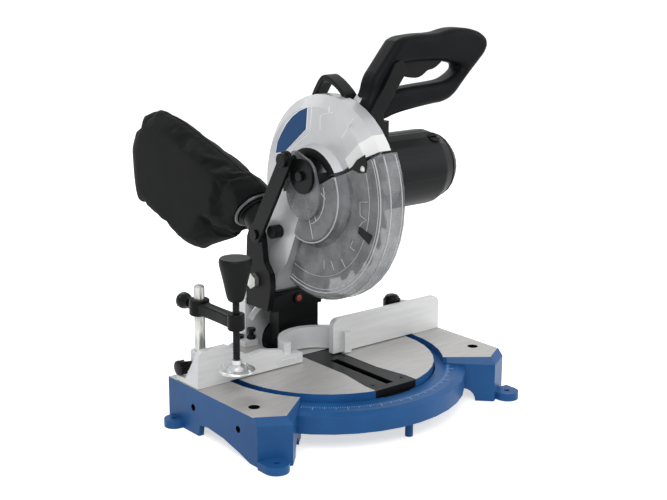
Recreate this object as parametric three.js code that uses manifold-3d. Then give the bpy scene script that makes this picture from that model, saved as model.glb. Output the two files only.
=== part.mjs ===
// Mitre saw for a 210 mm blade. Millimetres, X to the right, Y away from the user, Z up.
// The origin is on the bench plane, on the axis that the turntable turns about.
// The head is drawn raised, with the table square and the bevel at zero.

import * as THREE from 'three';
import { mergeVertices } from 'three/addons/utils/BufferGeometryUtils.js';
import Module from 'manifold-3d';

const wasm = await Module();
wasm.setup();

// Clearances and cuts
const gap = 0.3;
const overrun = 4;
const fine = 40;
const medium = 20;
const coarse = 12;

// Base, fence and table
const table = { height: 53, radius: 126.4, plate: 6.5, skirtWall: 6, skirtDrop: 19, lip: 9 };
// The sides of the base and everything behind the fence are drawn for this radius, and move out with the table's
const drawnRadius = 126.4;
const spread = table.radius - drawnRadius;
const well = { clearance: 1.6, floor: 28, underside: 21, ledge: 44, wingGap: 9.5 };
const wellRadius = table.radius + well.clearance;
const ringBand = { land: 27, bevel: 7.8, edge: 41.5, wall: 7, roof: 7 };
const ring = {
  ...ringBand, topRadius: wellRadius + ringBand.land, radius: wellRadius + ringBand.land + ringBand.bevel,
  rearRadius: wellRadius + well.wingGap,
};
const grooveRoof = well.ledge - ring.roof;
const boss = { radius: 24, hubRadius: 13 };
const wing = {
  wall: 6.5, roof: 8, holeRadius: 6.3, hole: [163.3 + spread, -79.4], rear: 58, grooveRear: -91,
  archRadius: 15, archTurn: 45.7,
};
const wingOutline = [[104, -84], [110.3, -89.3], [150.2, -130.2], [182.7, -111.3], [182.7, wing.rear], [96, wing.rear]]
  .map(([x, y]) => [x + spread, y]);
const wingArch = [124.3 + spread, -103.6];
const sideArch = [[-2, 0], [-4, 13], [-20, 15.5], [-50, 12.5], [-78, 6], [-98, 0]];
const lug = {
  height: 9, radius: 14, holeRadius: 3.5, front: [172 + spread, -130], rear: [186 + spread, 42], rearRadius: 12,
};
const rod = { holeRadius: 4, places: [[8.4, 30.6], [-77, 32]] };
const groovePlace = [0, -(wellRadius + ring.wall + ring.topRadius) / 2];
const foot = { place: groovePlace, radius: 4.6, stem: 2.6, stemLength: 4 };
// The left face steps up from its inner end: points are [x, z]
const fence = {
  thickness: 8, end: 181.4 + spread, top: 96, low: 66, lift: 1.2, bed: 6, bedRear: 43.6, corner: 9,
  leftStart: -36, rightStart: 10,
  steps: [[-62, 67], [-66, 75], [-92, 80], [-112, 78], [-141, 96]],
};
const bridge = { inner: 37, outer: 46, top: 80, centre: [-13, 2], start: 176, sweep: 188, footDepth: 12 };
const buttress = { place: 174 + spread, width: 7, reach: 26 };
const socket = { place: [154.1 + spread, 35.6], radius: 11, height: 84, floor: 58 };
const fenceScrew = { radius: 2.6, head: 4.6, headHeight: 4, length: 12, along: [143 + spread, 166 + spread], y: 16 };
const fenceScrewPlaces = [-fenceScrew.along[1], -fenceScrew.along[0], ...fenceScrew.along].map((x) => [x, fenceScrew.y]);
const nose = -122.8 - spread;
const fromNose = { trough: 0.8, slot: 10.8, screw: 15.3, flare: 17.8 };
const insert = {
  thickness: 3.6, rearHalf: 22, frontHalf: 29.4, rear: 22, waist: -62, flare: nose + fromNose.flare, nose, lipThick: 4,
  slot: 5, slotFront: nose + fromNose.slot,
};
const insertScrew = { radius: 1.9, head: 3.6, headHeight: 1.6, length: 7, x: 21, y: nose + fromNose.screw };
const insertScrewPlaces = [[-insertScrew.x, insertScrew.y], [insertScrew.x, insertScrew.y]];
const trough = { half: 17, wall: 3, front: nose + fromNose.trough, rear: -14, bottom: 30 };
const pivot = { radius: 4, head: 7.5, headHeight: 5.5, headTop: 47.5, bottom: 15 };
const tableLock = {
  place: [120 + spread, 20], bossRadius: 9, bossTop: 70, stem: 4, knobRadius: 11, knobEdge: 8.8, knobFrom: 86, knobTop: 104,
};

// Work clamp
const post = { radius: 6, top: 160, bottom: 58.3 };
const postKnob = { from: 12, length: 19, small: 5, large: 8.6, crown: 6.02, height: 69, stem: 3 };
const arm = { low: 126, high: 144, middle: 135, reach: 70.8, width: 15, beamInset: 2, hub: 11.5, eye: 9.5 };
const thumb = { stem: 3, from: 12, knobFrom: 20, length: 17, radius: 9.5, edge: 7.6, boss: 8 };
const spindle = { radius: 4, bottom: 92.6, knobLow: 158, knobTop: 206, knobSmall: 8, knobLarge: 18, crown: 12.6 };
const clampFoot = { radius: 22, hub: 7, shoulder: 11.2, low: 79, rim: 2, neck: 86, high: 92 };

// Bevel assembly
const hinge = { y: 80, z: 137, pin: 6, knuckle: 16, knuckleRoom: 18, armHalf: 31, armLeft: -28 };
const fork = {
  left: 27, right: 33, front: 58, rear: 76, bossRear: 98.2, bossRadius: 23, boltBoss: 9, earThick: 8, earInner: 37.4,
  webLow: 100, overlap: 1,
};
const forkSide = [[58, 53], [76, 53], [76, 116], [70, 120], [60, 121], [58, 118]];
const earLeft = [
  [56, 104], [98, 104], [98, 150], [96, 188], [88, 205], [72, 205], [67, 194], [62, 162], [51, 150], [49, 134], [52, 118],
];
const earRight = [[56, 104], [98, 104], [98, 146], [88, 158], [68, 158], [51, 148], [49, 134], [52, 118]];
const bracket = {
  from: 98.5, thick: 12, half: 47, topHalf: 32, shoulder: 111, top: 118, slotRadius: 50, slotHalf: 4.6, slotStart: 84, slotEnd: 143,
};
const bracketFoot = { inner: 37.5, outer: 57, front: 86, cheekRear: 107.4, height: 7, tongue: 34, tongueBottom: 36 };
const bracketScrew = { radius: 2.6, head: 4.6, headHeight: 4, length: 10, place: [52, 103] };
const tiltBolt = { radius: 6, head: 10, headLength: 6, from: 58.6 };
const bevelBolt = { angle: 95, radius: 4, nose: 66 };
const lever = { hub: 9, thick: 9, length: 58, rise: 6, barRadius: 4.2, tilt: 28 };
const stopScrew = { radius: 3, head: 5.5, headHeight: 4, place: [-43, 92], low: 60.8, high: 74 };
const laser = { place: [2, 112], radius: 6.5, length: 14, lens: 4, lensDepth: 3 };
const nut = { radius: 9.5, thick: 7 };
const spring = { turns: 3, perTurn: 8, coil: 9.6, wire: 0.55, from: 31.3, to: 37.1 };
const lockPin = {
  y: 57, z: 135, radius: 3.5, knob: 8, knobLength: 12, travel: 8, tip: 34, hole: [64.9, 154.4], depth: 9,
};

// Head
const arbor = { y: 0, z: 254, radius: 8, to: 41 };
const blade = { radius: 105, gullet: 97, heel: 104, teeth: 24, body: 0.9, bore: 8.3 };
// Where a tooth's corners come, as shares of the pitch
const tooth = { gulletFrom: 0.06, gulletTo: 0.3, heel: 0.72 };
const flange = { radius: 20, thick: 4 };
const arborBolt = { head: 8, length: 6, washer: 11, washerThick: 2 };
const cover = {
  radius: 109.4, shoulder: 96, left: -4, face: -15, wall: 2.6, hubRadius: 51, hubFoot: 55, hubEdge: 45, hubBevel: -25,
  hubFace: -27, opening: 42, right: 13,
};
const coverInside = { left: -3, shoulder: 95, hubFoot: 53, hubEdge: 48, hubBevel: -23.4 };
const coverSweep = { start: -66, end: 146 };
const headArm = [
  [-2, 178], [28, 176], [57, 147], [66, 124], [78, 119], [94, 124], [97, 140], [93, 186], [84, 236], [40, 250], [-4, 214],
];
const armCut = { radius: cover.radius - cover.wall, left: -14.8 };
const gear = {
  from: 13.3, to: 46, wall: 4, arborRadius: 38, motorRadius: 45, neckFront: -52, neckRear: -24.3, neckTop: 335.7, neckLow: 296,
};
const stemOutline = [[13.6, 334], [13.6, 356], [22, 364.5], [36, 364.5], [40, 345], [40, 334]];
const motor = { y: -30, z: 273, radius: 44, from: 46.3, shoulder: 118, to: 134, endRadius: 38, wall: 4, facets: 12 };
const endCap = { from: 134.3, to: 149, edge: 36, small: 27, dish: 21, dishFloor: 19, recess: 3 };
const rotor = {
  radius: 22, from: 62, to: 112, shaft: 5, shaftFrom: 18, shaftTo: 131, fan: 32, fanFrom: 118, fanTo: 122, pinion: 8,
};
const ringGear = { radius: 26.8, from: 20, to: 34 };
const brush = { x: 114, radius: 8, inner: 38, outer: 45, slot: 1.4, angles: [122, 302] };
// The handle stands across the saw: outlines are [x, z]
const handleOuter = [
  [40, 336], [60, 341.5], [89, 345.5], [115, 348], [136, 349.5], [150, 356], [162, 368], [175, 380.5], [188, 392],
  [200, 403], [204, 415.5], [196, 424.5], [178, 431], [155, 433.5], [139, 432], [126, 429], [87, 428.5], [62, 425.5],
  [56, 419], [37.5, 397.5], [26, 384], [21, 366], [14, 357], [14, 336],
];
const handleHole = [
  [45, 370], [50, 382], [61, 392.5], [68, 397], [130, 397], [146, 393.5], [156, 391.5], [161, 388], [159, 384],
  [149, 378], [138, 374], [122, 372.5], [100, 371.5], [74, 370],
];
const triggerOutline = [
  [72, 401], [72, 384], [78, 381.5], [88, 379.5], [98, 379], [106, 382], [112, 386.5], [121, 387.5], [130, 392],
  [135, 396], [135, 401],
];
const triggerPocket = [[69, 396], [69, 411], [138, 411], [138, 394]];
const handle = { front: -53, middle: -38, rear: -23 };
const trigger = { half: 6 };
const lockButton = { place: [80, 418], radius: 5, reach: 5 };
const powerSwitch = { from: 102, to: 118, low: 413, high: 424, half: 8 };
const release = {
  from: -58.3, to: -53.5, pivot: [25, 329], pin: 2.6, boss: 4.16,
  outline: [
    [18, 325], [15, 334], [14.5, 346], [50, 399.5], [56, 402.5], [62, 399], [67.5, 391.5], [32, 344.7], [34, 335], [31, 325],
    [25, 322],
  ],
};
const bail = {
  from: 7.4, to: 25.4,
  outer: [[50, 336], [44.5, 350], [27.5, 377], [20, 383], [12, 383.5], [-17, 367.5], [-22.4, 361], [-22.4, 336]],
  inner: [[-16.4, 336], [-16.4, 361], [12.5, 377], [18, 376], [22, 372.5], [38.5, 347.5], [43, 336]],
};
const port = {
  x: 0, y: 88, z: 165.4, angle: 38, inner: 18, outer: 21, start: 5, length: 74, collar: 25, collarLength: 13,
};
const chute = { radius: 15, angle: -28, length: 47, from: [92, 168.5] };
// The bag's seam as [y, z] in the port's plane. Its sides stand out from a line inset from the seam, less to the rear
const bagSeam = [
  [346, 310], [305, 304], [245, 286], [194, 269], [162, 256], [127, 239], [122.4, 229], [157.6, 183.5], [161, 165], [192, 155],
  [247, 135], [257, 129], [276, 129], [339, 150], [406, 173], [414, 190], [413, 222], [419, 249], [401, 283], [382, 303],
];
const bag = {
  seamHalf: 6, inset: 22, nearHalf: 27, farHalf: 13, nearEnd: 165, farEnd: 400, neckRadius: 28.5, neckEnd: 84, cutRadius: 75,
};
const clip = { wire: 2, offset: 66, sweep: 345, points: 23 };
const buffer = { y: 53, z: 200, radius: 8, from: -42, to: -28, stemFrom: -30, stemTo: -18, boreTo: -14 };

// Lower guard and its link
const clear = {
  radius: 125, rim: 122.4, bevel: 4, left: -20.6, right: 6, shoulder: 64, dome: 56, domeBevel: 2, face: -33, wall: 2, eye: 24,
  start: 152, end: 292, travel: 135, slack: 2, room: 1.8,
};
const clearInside = {
  bevel: 3, left: -15.6, shoulder: 63, dome: 55, domeEdge: 54, foot: -23.6, domeFoot: -30, domeTop: 53,
};
const guardHub = { outer: 30, from: -37, to: -33.3, lobe: 9.2857 };
const farOut = 300;
const disc = { y: -3, z: 275, radius: 20.4, from: -41.3, to: -37.3 };
const discBolt = { radius: 6, head: 4 };
const linkPin = { y: 14, z: 292, radius: 4 };
const link = { y: 72, z: 195, from: -51, to: -46.6, width: 10, tip: 10.5, cap: 8.2, capHeight: 6.3 };
const linkScrew = { radius: 3.4, head: 6, headHeight: 2.6 };

// Colours
const paint = {
  blue: 0x2c5f9c, silver: 0xbfc1c2, grey: 0xa9abab, black: 0x242628, shell: 0x303234, rubber: 0x18191a,
  steel: 0xb4b6b8, zinc: 0xc9cacb, chrome: 0xd8d9da, clear: 0xb9bdc0, fabric: 0x232527, brass: 0xb59a52, red: 0x9c2b22,
};

const radians = (degrees) => degrees * Math.PI / 180;
const tableRest = table.height + gap;

// Solids

function closed(geometry) {
  const bare = geometry.clone();
  bare.deleteAttribute('normal');
  bare.deleteAttribute('uv');
  const merged = mergeVertices(bare, 1e-4);
  const corners = merged.attributes.position.array;
  const faces = Uint32Array.from(merged.index.array);
  let volume = 0;
  const at = (i) => new THREE.Vector3().fromArray(corners, i * 3);
  for (let f = 0; f < faces.length; f += 3) {
    volume += at(faces[f]).dot(at(faces[f + 1]).cross(at(faces[f + 2])));
  }
  if (volume < 0) {
    for (let f = 0; f < faces.length; f += 3) [faces[f], faces[f + 1]] = [faces[f + 1], faces[f]];
  }
  const kept = [];
  for (let f = 0; f < faces.length; f += 3) {
    const [a, b, c] = faces.subarray(f, f + 3);
    if (a !== b && b !== c && c !== a) kept.push(a, b, c);
  }
  const mesh = new wasm.Mesh({ numProp: 3, vertProperties: Float32Array.from(corners), triVerts: Uint32Array.from(kept) });
  return new wasm.Manifold(mesh);
}

function opened(solid) {
  const mesh = solid.getMesh();
  const geometry = new THREE.BufferGeometry();
  geometry.setAttribute('position', new THREE.BufferAttribute(Float32Array.from(mesh.vertProperties), 3));
  geometry.setIndex(new THREE.BufferAttribute(Uint32Array.from(mesh.triVerts), 1));
  return geometry;
}

const join = (...parts) => opened(parts.flat().map(closed).reduce((whole, part) => whole.add(part)));
const cut = (body, ...tools) => opened(tools.flat().map(closed).reduce((rest, tool) => rest.subtract(tool), closed(body)));
const common = (body, tool) => opened(closed(body).intersect(closed(tool)));

// The tightest body round some points and a solid
const wrapped = (points, solid) => opened(wasm.Manifold.hull([wasm.Manifold.hull(points), closed(solid)]));

// A round bar along one axis, at its place on the other two
function bar(axis, radius, from, to, place = [0, 0], sides = medium) {
  const length = to - from;
  const geometry = new THREE.CylinderGeometry(radius, radius, length, sides);
  return laid(geometry, axis, (from + to) / 2, place);
}

// A turned shape: pairs of radius and place along the axis
function turned(axis, profile, place = [0, 0], sides = medium) {
  const points = profile.map(([radius, along]) => new THREE.Vector2(radius, along));
  return laid(new THREE.LatheGeometry(points, sides), axis, 0, place);
}

function laid(geometry, axis, along, [first, second]) {
  if (axis === 'x') return geometry.rotateZ(-Math.PI / 2).translate(along, first, second);
  if (axis === 'z') return geometry.rotateX(Math.PI / 2).translate(first, second, along);
  return geometry.translate(first, along, second);
}

// A flat outline given thickness along one axis: [y, z] along X, [x, z] along Y, [x, y] along Z
function slab(axis, outline, from, to, holes = []) {
  const shape = new THREE.Shape(outline.map(([a, b]) => new THREE.Vector2(a, b)));
  holes.forEach((hole) => shape.holes.push(new THREE.Path(hole.map(([a, b]) => new THREE.Vector2(a, b)))));
  const geometry = new THREE.ExtrudeGeometry(shape, { depth: to - from, bevelEnabled: false });
  if (axis === 'z') return geometry.translate(0, 0, from);
  if (axis === 'y') return geometry.rotateX(Math.PI / 2).translate(0, to, 0);
  const turn = new THREE.Matrix4().set(0, 0, 1, from, 1, 0, 0, 0, 0, 1, 0, 0, 0, 0, 0, 1);
  return geometry.applyMatrix4(turn);
}

function block([x0, x1], [y0, y1], [z0, z1]) {
  const geometry = new THREE.BoxGeometry(x1 - x0, y1 - y0, z1 - z0);
  return geometry.translate((x0 + x1) / 2, (y0 + y1) / 2, (z0 + z1) / 2);
}

const mirrored = (outline) => outline.map(([a, b]) => [-a, b]).reverse();
const both = (make) => [make(-1), make(1)];
const sided = (side, from, to) => (side < 0 ? [-to, -from] : [from, to]);

// Points on a circle between two angles in degrees
function arc([a, b], radius, start, end, steps) {
  return Array.from({ length: steps + 1 }, (_, i) => {
    const angle = radians(start + (end - start) * i / steps);
    return [a + radius * Math.cos(angle), b + radius * Math.sin(angle)];
  });
}

// A round bar along a path of points, with flat ends
function swept(points, radius, sides, detail = 3) {
  const path = new THREE.CatmullRomCurve3(points.map((p) => new THREE.Vector3(...p)), false, 'centripetal');
  const steps = (points.length - 1) * detail;
  const frames = path.computeFrenetFrames(steps);
  const corners = [];
  const faces = [];
  for (let i = 0; i <= steps; i += 1) {
    const centre = path.getPointAt(i / steps);
    for (let j = 0; j < sides; j += 1) {
      const angle = 2 * Math.PI * j / sides;
      const out = frames.normals[i].clone().multiplyScalar(Math.cos(angle));
      out.addScaledVector(frames.binormals[i], Math.sin(angle));
      corners.push(...centre.clone().addScaledVector(out, radius).toArray());
    }
  }
  for (let i = 0; i < steps; i += 1) {
    for (let j = 0; j < sides; j += 1) {
      const a = i * sides + j;
      const b = i * sides + (j + 1) % sides;
      const c = a + sides;
      const d = b + sides;
      faces.push(a, b, c, b, d, c);
    }
  }
  for (let j = 1; j < sides - 1; j += 1) {
    const last = steps * sides;
    faces.push(0, j + 1, j, last, last + j, last + j + 1);
  }
  const geometry = new THREE.BufferGeometry();
  geometry.setAttribute('position', new THREE.Float32BufferAttribute(corners, 3));
  geometry.setIndex(faces);
  return geometry;
}

// A socket screw seated from above, its head's underside at the given height
function socketScrew(size, [x, y], seat) {
  const head = bar('z', size.head, seat, seat + size.headHeight, [x, y], coarse);
  const stem = bar('z', size.radius, seat - size.length, seat + size.headHeight / 2, [x, y], coarse);
  const key = bar('z', size.radius, seat + size.headHeight / 2, seat + size.headHeight + overrun, [x, y], 6);
  return cut(join(head, stem), key);
}

function screwHole(size, [x, y], top) {
  return bar('z', size.radius + gap, top - size.length - gap, top + overrun, [x, y], coarse);
}

// Base

function lugs() {
  const { height, radius, front, rear, rearRadius } = lug;
  return both((side) => [
    bar('z', radius, 0, height, [side * front[0], front[1]]),
    bar('z', rearRadius, 0, height, [side * rear[0], rear[1]]),
    block(sided(side, front[0] - radius, front[0] + radius), [front[1], front[1] + radius], [0, height]),
    block(sided(side, rear[0] - rearRadius, rear[0]), [rear[1] - rearRadius, rear[1] + rearRadius], [0, height]),
  ]).flat();
}

function lugHoles() {
  return both((side) => [lug.front, lug.rear].map(([x, y]) => (
    bar('z', lug.holeRadius, -overrun, lug.height + overrun, [side * x, y], coarse)))).flat();
}

// An outline with its sides moved inwards by the wall, or outwards where the wall is negative
function insetOutline(outline, wall) {
  const turn = Math.sign(THREE.ShapeUtils.area(outline.map(([a, b]) => new THREE.Vector2(a, b))));
  const normal = (p, q) => new THREE.Vector2(p[1] - q[1], q[0] - p[0]).normalize().multiplyScalar(turn);
  return outline.map((corner, i) => {
    const before = normal(outline[(i + outline.length - 1) % outline.length], corner);
    const after = normal(corner, outline[(i + 1) % outline.length]);
    const shift = wall / (1 + before.dot(after));
    return [corner[0] + (before.x + after.x) * shift, corner[1] + (before.y + after.y) * shift];
  });
}

function wingPockets() {
  const inner = insetOutline(wingOutline, wing.wall);
  const roof = table.height - wing.roof;
  const belowWell = well.underside - wing.wall;
  const keep = bar('z', wellRadius + well.wingGap + ring.wall, -overrun, table.height, [0, 0], fine);
  return [inner, mirrored(inner)].flatMap((outline) => [
    slab('z', outline, -overrun, belowWell),
    cut(slab('z', outline, -overrun, roof), keep),
  ]);
}

function ringGroove() {
  const groove = turned('z', [
    [ring.topRadius, 0], [ring.topRadius, grooveRoof],
    [wellRadius + ring.wall, grooveRoof], [wellRadius + ring.wall, 0], [ring.topRadius, 0],
  ], [0, 0], fine);
  const front = block([-ring.radius, ring.radius], [-ring.radius, wing.grooveRear], [0, table.height]);
  return common(groove, cut(front, wingsOutside()));
}

function wingsOutside() {
  return [wingOutline, mirrored(wingOutline)].map((outline) => slab('z', outline, -overrun, table.height + overrun));
}

function fenceScrewHoles() {
  return fenceScrewPlaces.map((place) => screwHole(fenceScrew, place, table.height + fence.bed + gap));
}

function baseCasting() {
  const drum = turned('z', [
    [0, well.underside], [ring.radius, well.underside], [ring.radius, ring.edge], [ring.topRadius, well.ledge], [0, well.ledge],
  ], [0, 0], fine);
  const frontDrum = common(drum, block([-ring.radius, ring.radius], [-ring.radius, 0], [0, table.height]));
  const rearDrum = bar('z', ring.rearRadius, well.underside, well.ledge, [0, 0], fine);
  const wings = [wingOutline, mirrored(wingOutline)].map((outline) => slab('z', outline, 0, table.height));
  const body = join(frontDrum, rearDrum, wings, lugs(), bar('z', boss.radius, 0, well.floor, [0, 0]));
  const tools = [
    bar('z', wellRadius, well.floor, table.height + overrun, [0, 0], fine),
    bar('z', wellRadius + well.wingGap, well.ledge, table.height + overrun, [0, 0], fine),
    wingPockets(), ringGroove(), lugHoles(), fenceScrewHoles(),
    slab('x', sideArch, -ring.radius * 2, ring.radius * 2),
    both((side) => bar('y', wing.archRadius, -wing.archRadius, wing.archRadius)
      .rotateZ(-side * radians(wing.archTurn)).translate(side * wingArch[0], wingArch[1], 0)),
    bar('z', pivot.radius + gap, pivot.bottom - gap, well.floor + overrun, [0, 0], coarse),
    bar('z', foot.stem + gap, 0, grooveRoof + foot.stemLength + gap, foot.place, coarse),
    both((side) => {
      const place = [side * wing.hole[0], wing.hole[1]];
      return bar('z', wing.holeRadius, table.height - wing.roof - overrun, table.height + overrun, place);
    }),
    rod.places.map((place) => both((side) => {
      const [from, to] = sided(side, ring.radius, ring.radius + lug.rear[0]);
      return bar('x', rod.holeRadius, from, to, place, coarse);
    })),
  ];
  return cut(body, tools.flat(3));
}

function frontFoot() {
  const base = bar('z', foot.radius, 0, grooveRoof - gap, foot.place, coarse);
  return join(base, bar('z', foot.stem, well.underside, grooveRoof + foot.stemLength, foot.place, coarse));
}

// Fence, one casting with an arc behind the blade

function fenceCasting() {
  const overTable = table.height + fence.lift;
  const wingEdge = wellRadius + well.wingGap + gap;
  const leftFace = [
    [-fence.end, tableRest], [-wingEdge, tableRest], [-wingEdge, overTable], [fence.leftStart, overTable],
    [fence.leftStart, fence.low], ...fence.steps,
    ...arc([-fence.end + fence.corner, fence.top - fence.corner], fence.corner, 90, 180, 4),
  ];
  const rightFace = [
    [fence.rightStart, overTable], [wingEdge, overTable], [wingEdge, tableRest], [fence.end, tableRest],
    ...arc([fence.end - fence.corner, fence.top - fence.corner], fence.corner, 0, 90, 4),
    ...arc([fence.rightStart + fence.corner, fence.top - fence.corner], fence.corner, 90, 180, 4),
  ];
  const half = fence.thickness / 2;
  const bedTop = tableRest + fence.bed;
  const feet = both((side) => block(sided(side, wingEdge, fence.end), [half, fence.bedRear], [tableRest, bedTop]));
  const sockets = both((side) => [side * socket.place[0], socket.place[1]]);
  const posts = sockets.map((place) => bar('z', socket.radius, tableRest, socket.height, place));
  const cornerFoot = fence.top - fence.corner;
  const ribSide = [
    [half, tableRest], [buttress.reach, tableRest], [buttress.reach, bedTop], [fence.thickness, cornerFoot], [half, cornerFoot],
  ];
  const ribs = both((side) => slab('x', ribSide, ...sided(side, buttress.place, buttress.place + buttress.width)));
  const around = (radius) => arc(bridge.centre, radius, bridge.start, bridge.start - bridge.sweep, 12);
  const archBar = slab('z', [...around(bridge.outer), ...around(bridge.inner).reverse()], overTable, bridge.top);
  const archFeet = [
    block([fence.leftStart - bridge.outer / 2, fence.leftStart], [0, bridge.footDepth], [overTable, fence.low]),
    block([bridge.centre[0] + bridge.inner, bridge.centre[0] + bridge.outer], [0, fence.thickness * 2], [overTable, bridge.top]),
  ];
  const { place: lockPlace, bossRadius, bossTop } = tableLock;
  const lockBoss = [
    bar('z', bossRadius, overTable, bossTop, lockPlace),
    block([lockPlace[0] - bossRadius, lockPlace[0] + bossRadius], [half, lockPlace[1]], [overTable, bossTop]),
  ];
  const body = join(
    slab('y', leftFace, 0, fence.thickness), slab('y', rightFace, 0, fence.thickness),
    feet, posts, ribs, archBar, archFeet, lockBoss,
  );
  const bores = sockets.map((place) => bar('z', post.radius + gap, socket.floor, socket.height + overrun, place));
  const sideHoles = both((side) => {
    const [from, to] = sided(side, socket.place[0], socket.place[0] + socket.radius * 3);
    return bar('x', postKnob.stem + gap, from, to, [socket.place[1], postKnob.height], coarse);
  });
  const kerf = block([-bridge.inner + bridge.centre[0], fence.rightStart], [-overrun, bridge.inner], [overTable - overrun, overTable]);
  const screws = fenceScrewPlaces.map(([x, y]) => [
    bar('z', fenceScrew.radius + gap, tableRest - overrun, bedTop + overrun, [x, y], coarse),
  ]).flat();
  const lockBore = bar('z', tableLock.stem + gap, overTable - overrun, bossTop + overrun, lockPlace, coarse);
  return cut(body, bores, sideHoles, kerf, screws, lockBore);
}

function mitreLockKnob() {
  const { stem, knobRadius, knobEdge, knobFrom, knobTop } = tableLock;
  return turned('z', [
    [0, tableRest], [stem, tableRest], [stem, knobFrom], [knobEdge, knobFrom], [knobRadius, knobFrom + stem],
    [knobRadius, knobTop - stem * 2], [knobEdge, knobTop - stem / 2], [stem, knobTop], [0, knobTop],
  ], tableLock.place, coarse);
}

// Turntable

const insertTop = table.height - gap;
const insertOutline = (grow, nose) => [
  [-insert.rearHalf - grow, insert.rear + grow], [-insert.rearHalf - grow, insert.waist], [-insert.frontHalf - grow, insert.flare],
  [-insert.frontHalf - grow, nose], [insert.frontHalf + grow, nose],
  [insert.frontHalf + grow, insert.flare], [insert.rearHalf + grow, insert.waist], [insert.rearHalf + grow, insert.rear + grow],
];
const lipBottom = table.height - table.lip;

function turntable() {
  const skirtBottom = table.height - table.skirtDrop;
  const underPlate = table.height - table.plate;
  const dish = turned('z', [
    [0, underPlate], [table.radius - table.skirtWall, underPlate], [table.radius - table.skirtWall, skirtBottom],
    [table.radius, skirtBottom], [table.radius, table.height], [0, table.height],
  ], [0, 0], fine);
  const channel = block([-trough.half, trough.half], [trough.front, trough.rear], [trough.bottom, table.height - gap]);
  const hub = bar('z', boss.hubRadius, well.floor + gap, table.height - gap, [0, 0]);
  const forkHalf = fork.right + overrun;
  const cheeks = both((side) => block(
    sided(side, forkHalf, bracketFoot.outer - overrun), [fork.front + spread, bracketFoot.cheekRear + spread],
    [skirtBottom, underPlate + gap],
  ));
  const floor = trough.bottom + trough.wall;
  const seat = insertTop - insert.thickness - gap;
  const disc = bar('z', table.radius, trough.bottom - overrun, table.height, [0, 0], fine);
  const above = table.height + overrun;
  const frontEnd = -table.radius - overrun;
  const channelHalf = trough.half - trough.wall;
  const lipHalf = insert.frontHalf + gap;
  const forkRoom = [fork.front + spread - overrun, bracket.from + spread + bracket.thick + gap];
  const [screwX, screwY] = bracketScrew.place;
  return cut(
    common(join(dish, channel, hub, cheeks), disc),
    block([-channelHalf, channelHalf], [trough.front + trough.wall, trough.rear - trough.wall], [floor, above]),
    slab('z', insertOutline(gap, frontEnd), seat, above),
    block([-lipHalf, lipHalf], [frontEnd, insert.nose + insert.lipThick + gap], [lipBottom - gap, above]),
    bar('z', pivot.radius + gap, well.floor - overrun, above, [0, 0], coarse),
    bar('z', pivot.head + gap, pivot.headTop - pivot.headHeight - gap, above, [0, 0]),
    block([-forkHalf, forkHalf], forkRoom, [trough.bottom - overrun, above]),
    insertScrewPlaces.map((place) => screwHole(insertScrew, place, seat + insert.thickness)),
    both((side) => screwHole(bracketScrew, [side * screwX, screwY + spread], tableRest + bracketFoot.height)),
  );
}

function tableInsert() {
  const [low, high] = [insertTop - insert.thickness, insertTop];
  const sunk = insertScrew.headHeight + gap;
  return cut(
    join(
      slab('z', insertOutline(0, insert.nose), low, high),
      block([-insert.frontHalf, insert.frontHalf], [insert.nose, insert.nose + insert.lipThick], [lipBottom, high]),
    ),
    block([-insert.slot, insert.slot], [insert.slotFront, -boss.hubRadius], [low - overrun, high + overrun]),
    insertScrewPlaces.flatMap((place) => [
      bar('z', insertScrew.radius + gap, low - overrun, high, place, coarse),
      bar('z', insertScrew.head + gap, high - sunk, high + overrun, place, coarse),
    ]),
  );
}

function pivotBolt() {
  const under = pivot.headTop - pivot.headHeight;
  const stem = bar('z', pivot.radius, pivot.bottom, pivot.headTop, [0, 0], coarse);
  return join(stem, bar('z', pivot.head, under, pivot.headTop, [0, 0], 6));
}

// Work clamp

const postPlace = [-socket.place[0], socket.place[1]];
const spindleY = postPlace[1] - arm.reach;

function postLockKnob() {
  const outer = postPlace[0] - postKnob.from;
  const end = outer - postKnob.length;
  const profile = [
    [0, end], [postKnob.crown, end], [postKnob.large, end + postKnob.stem], [postKnob.small, outer], [postKnob.stem, outer],
    [postKnob.stem, postPlace[0] - post.radius - gap], [0, postPlace[0] - post.radius - gap],
  ];
  return turned('x', profile, [postPlace[1], postKnob.height], coarse);
}

function clampArm() {
  const [x, y] = postPlace;
  const hub = bar('z', arm.hub, arm.low, arm.high, [x, y]);
  const eye = bar('z', arm.eye, arm.low, arm.high, [x, spindleY]);
  const beam = block([x - arm.width / 2, x + arm.width / 2], [spindleY, y], [arm.low + arm.beamInset, arm.high - arm.beamInset]);
  const boss = bar('y', thumb.boss, y, y + thumb.from, [x, arm.middle], coarse);
  const [below, above] = [arm.low - overrun, arm.high + overrun];
  return cut(
    join(hub, eye, beam, boss),
    bar('z', post.radius + gap, below, above, [x, y]),
    bar('z', spindle.radius + gap, below, above, [x, spindleY], coarse),
    bar('y', thumb.stem + gap, y, y + thumb.from + overrun, [x, arm.middle], coarse),
  );
}

function armThumbscrew() {
  const [x, y] = postPlace;
  const tip = y + post.radius + gap;
  const knob = y + thumb.knobFrom;
  const end = knob + thumb.length;
  return turned('y', [
    [0, tip], [thumb.stem, tip], [thumb.stem, knob], [thumb.edge, knob], [thumb.radius, knob + thumb.stem],
    [thumb.radius, end - thumb.stem], [thumb.edge, end], [0, end],
  ], [x, arm.middle], coarse);
}

function clampSpindle() {
  const { radius, bottom, knobLow, knobTop, knobSmall, knobLarge, crown } = spindle;
  return turned('z', [
    [0, bottom], [radius, bottom], [radius, knobLow], [knobSmall, knobLow], [knobSmall + radius, knobLow + knobSmall],
    [knobLarge, knobTop - knobSmall], [knobLarge, knobTop - radius], [crown, knobTop - gap], [0, knobTop],
  ], [postPlace[0], spindleY]);
}

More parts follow.
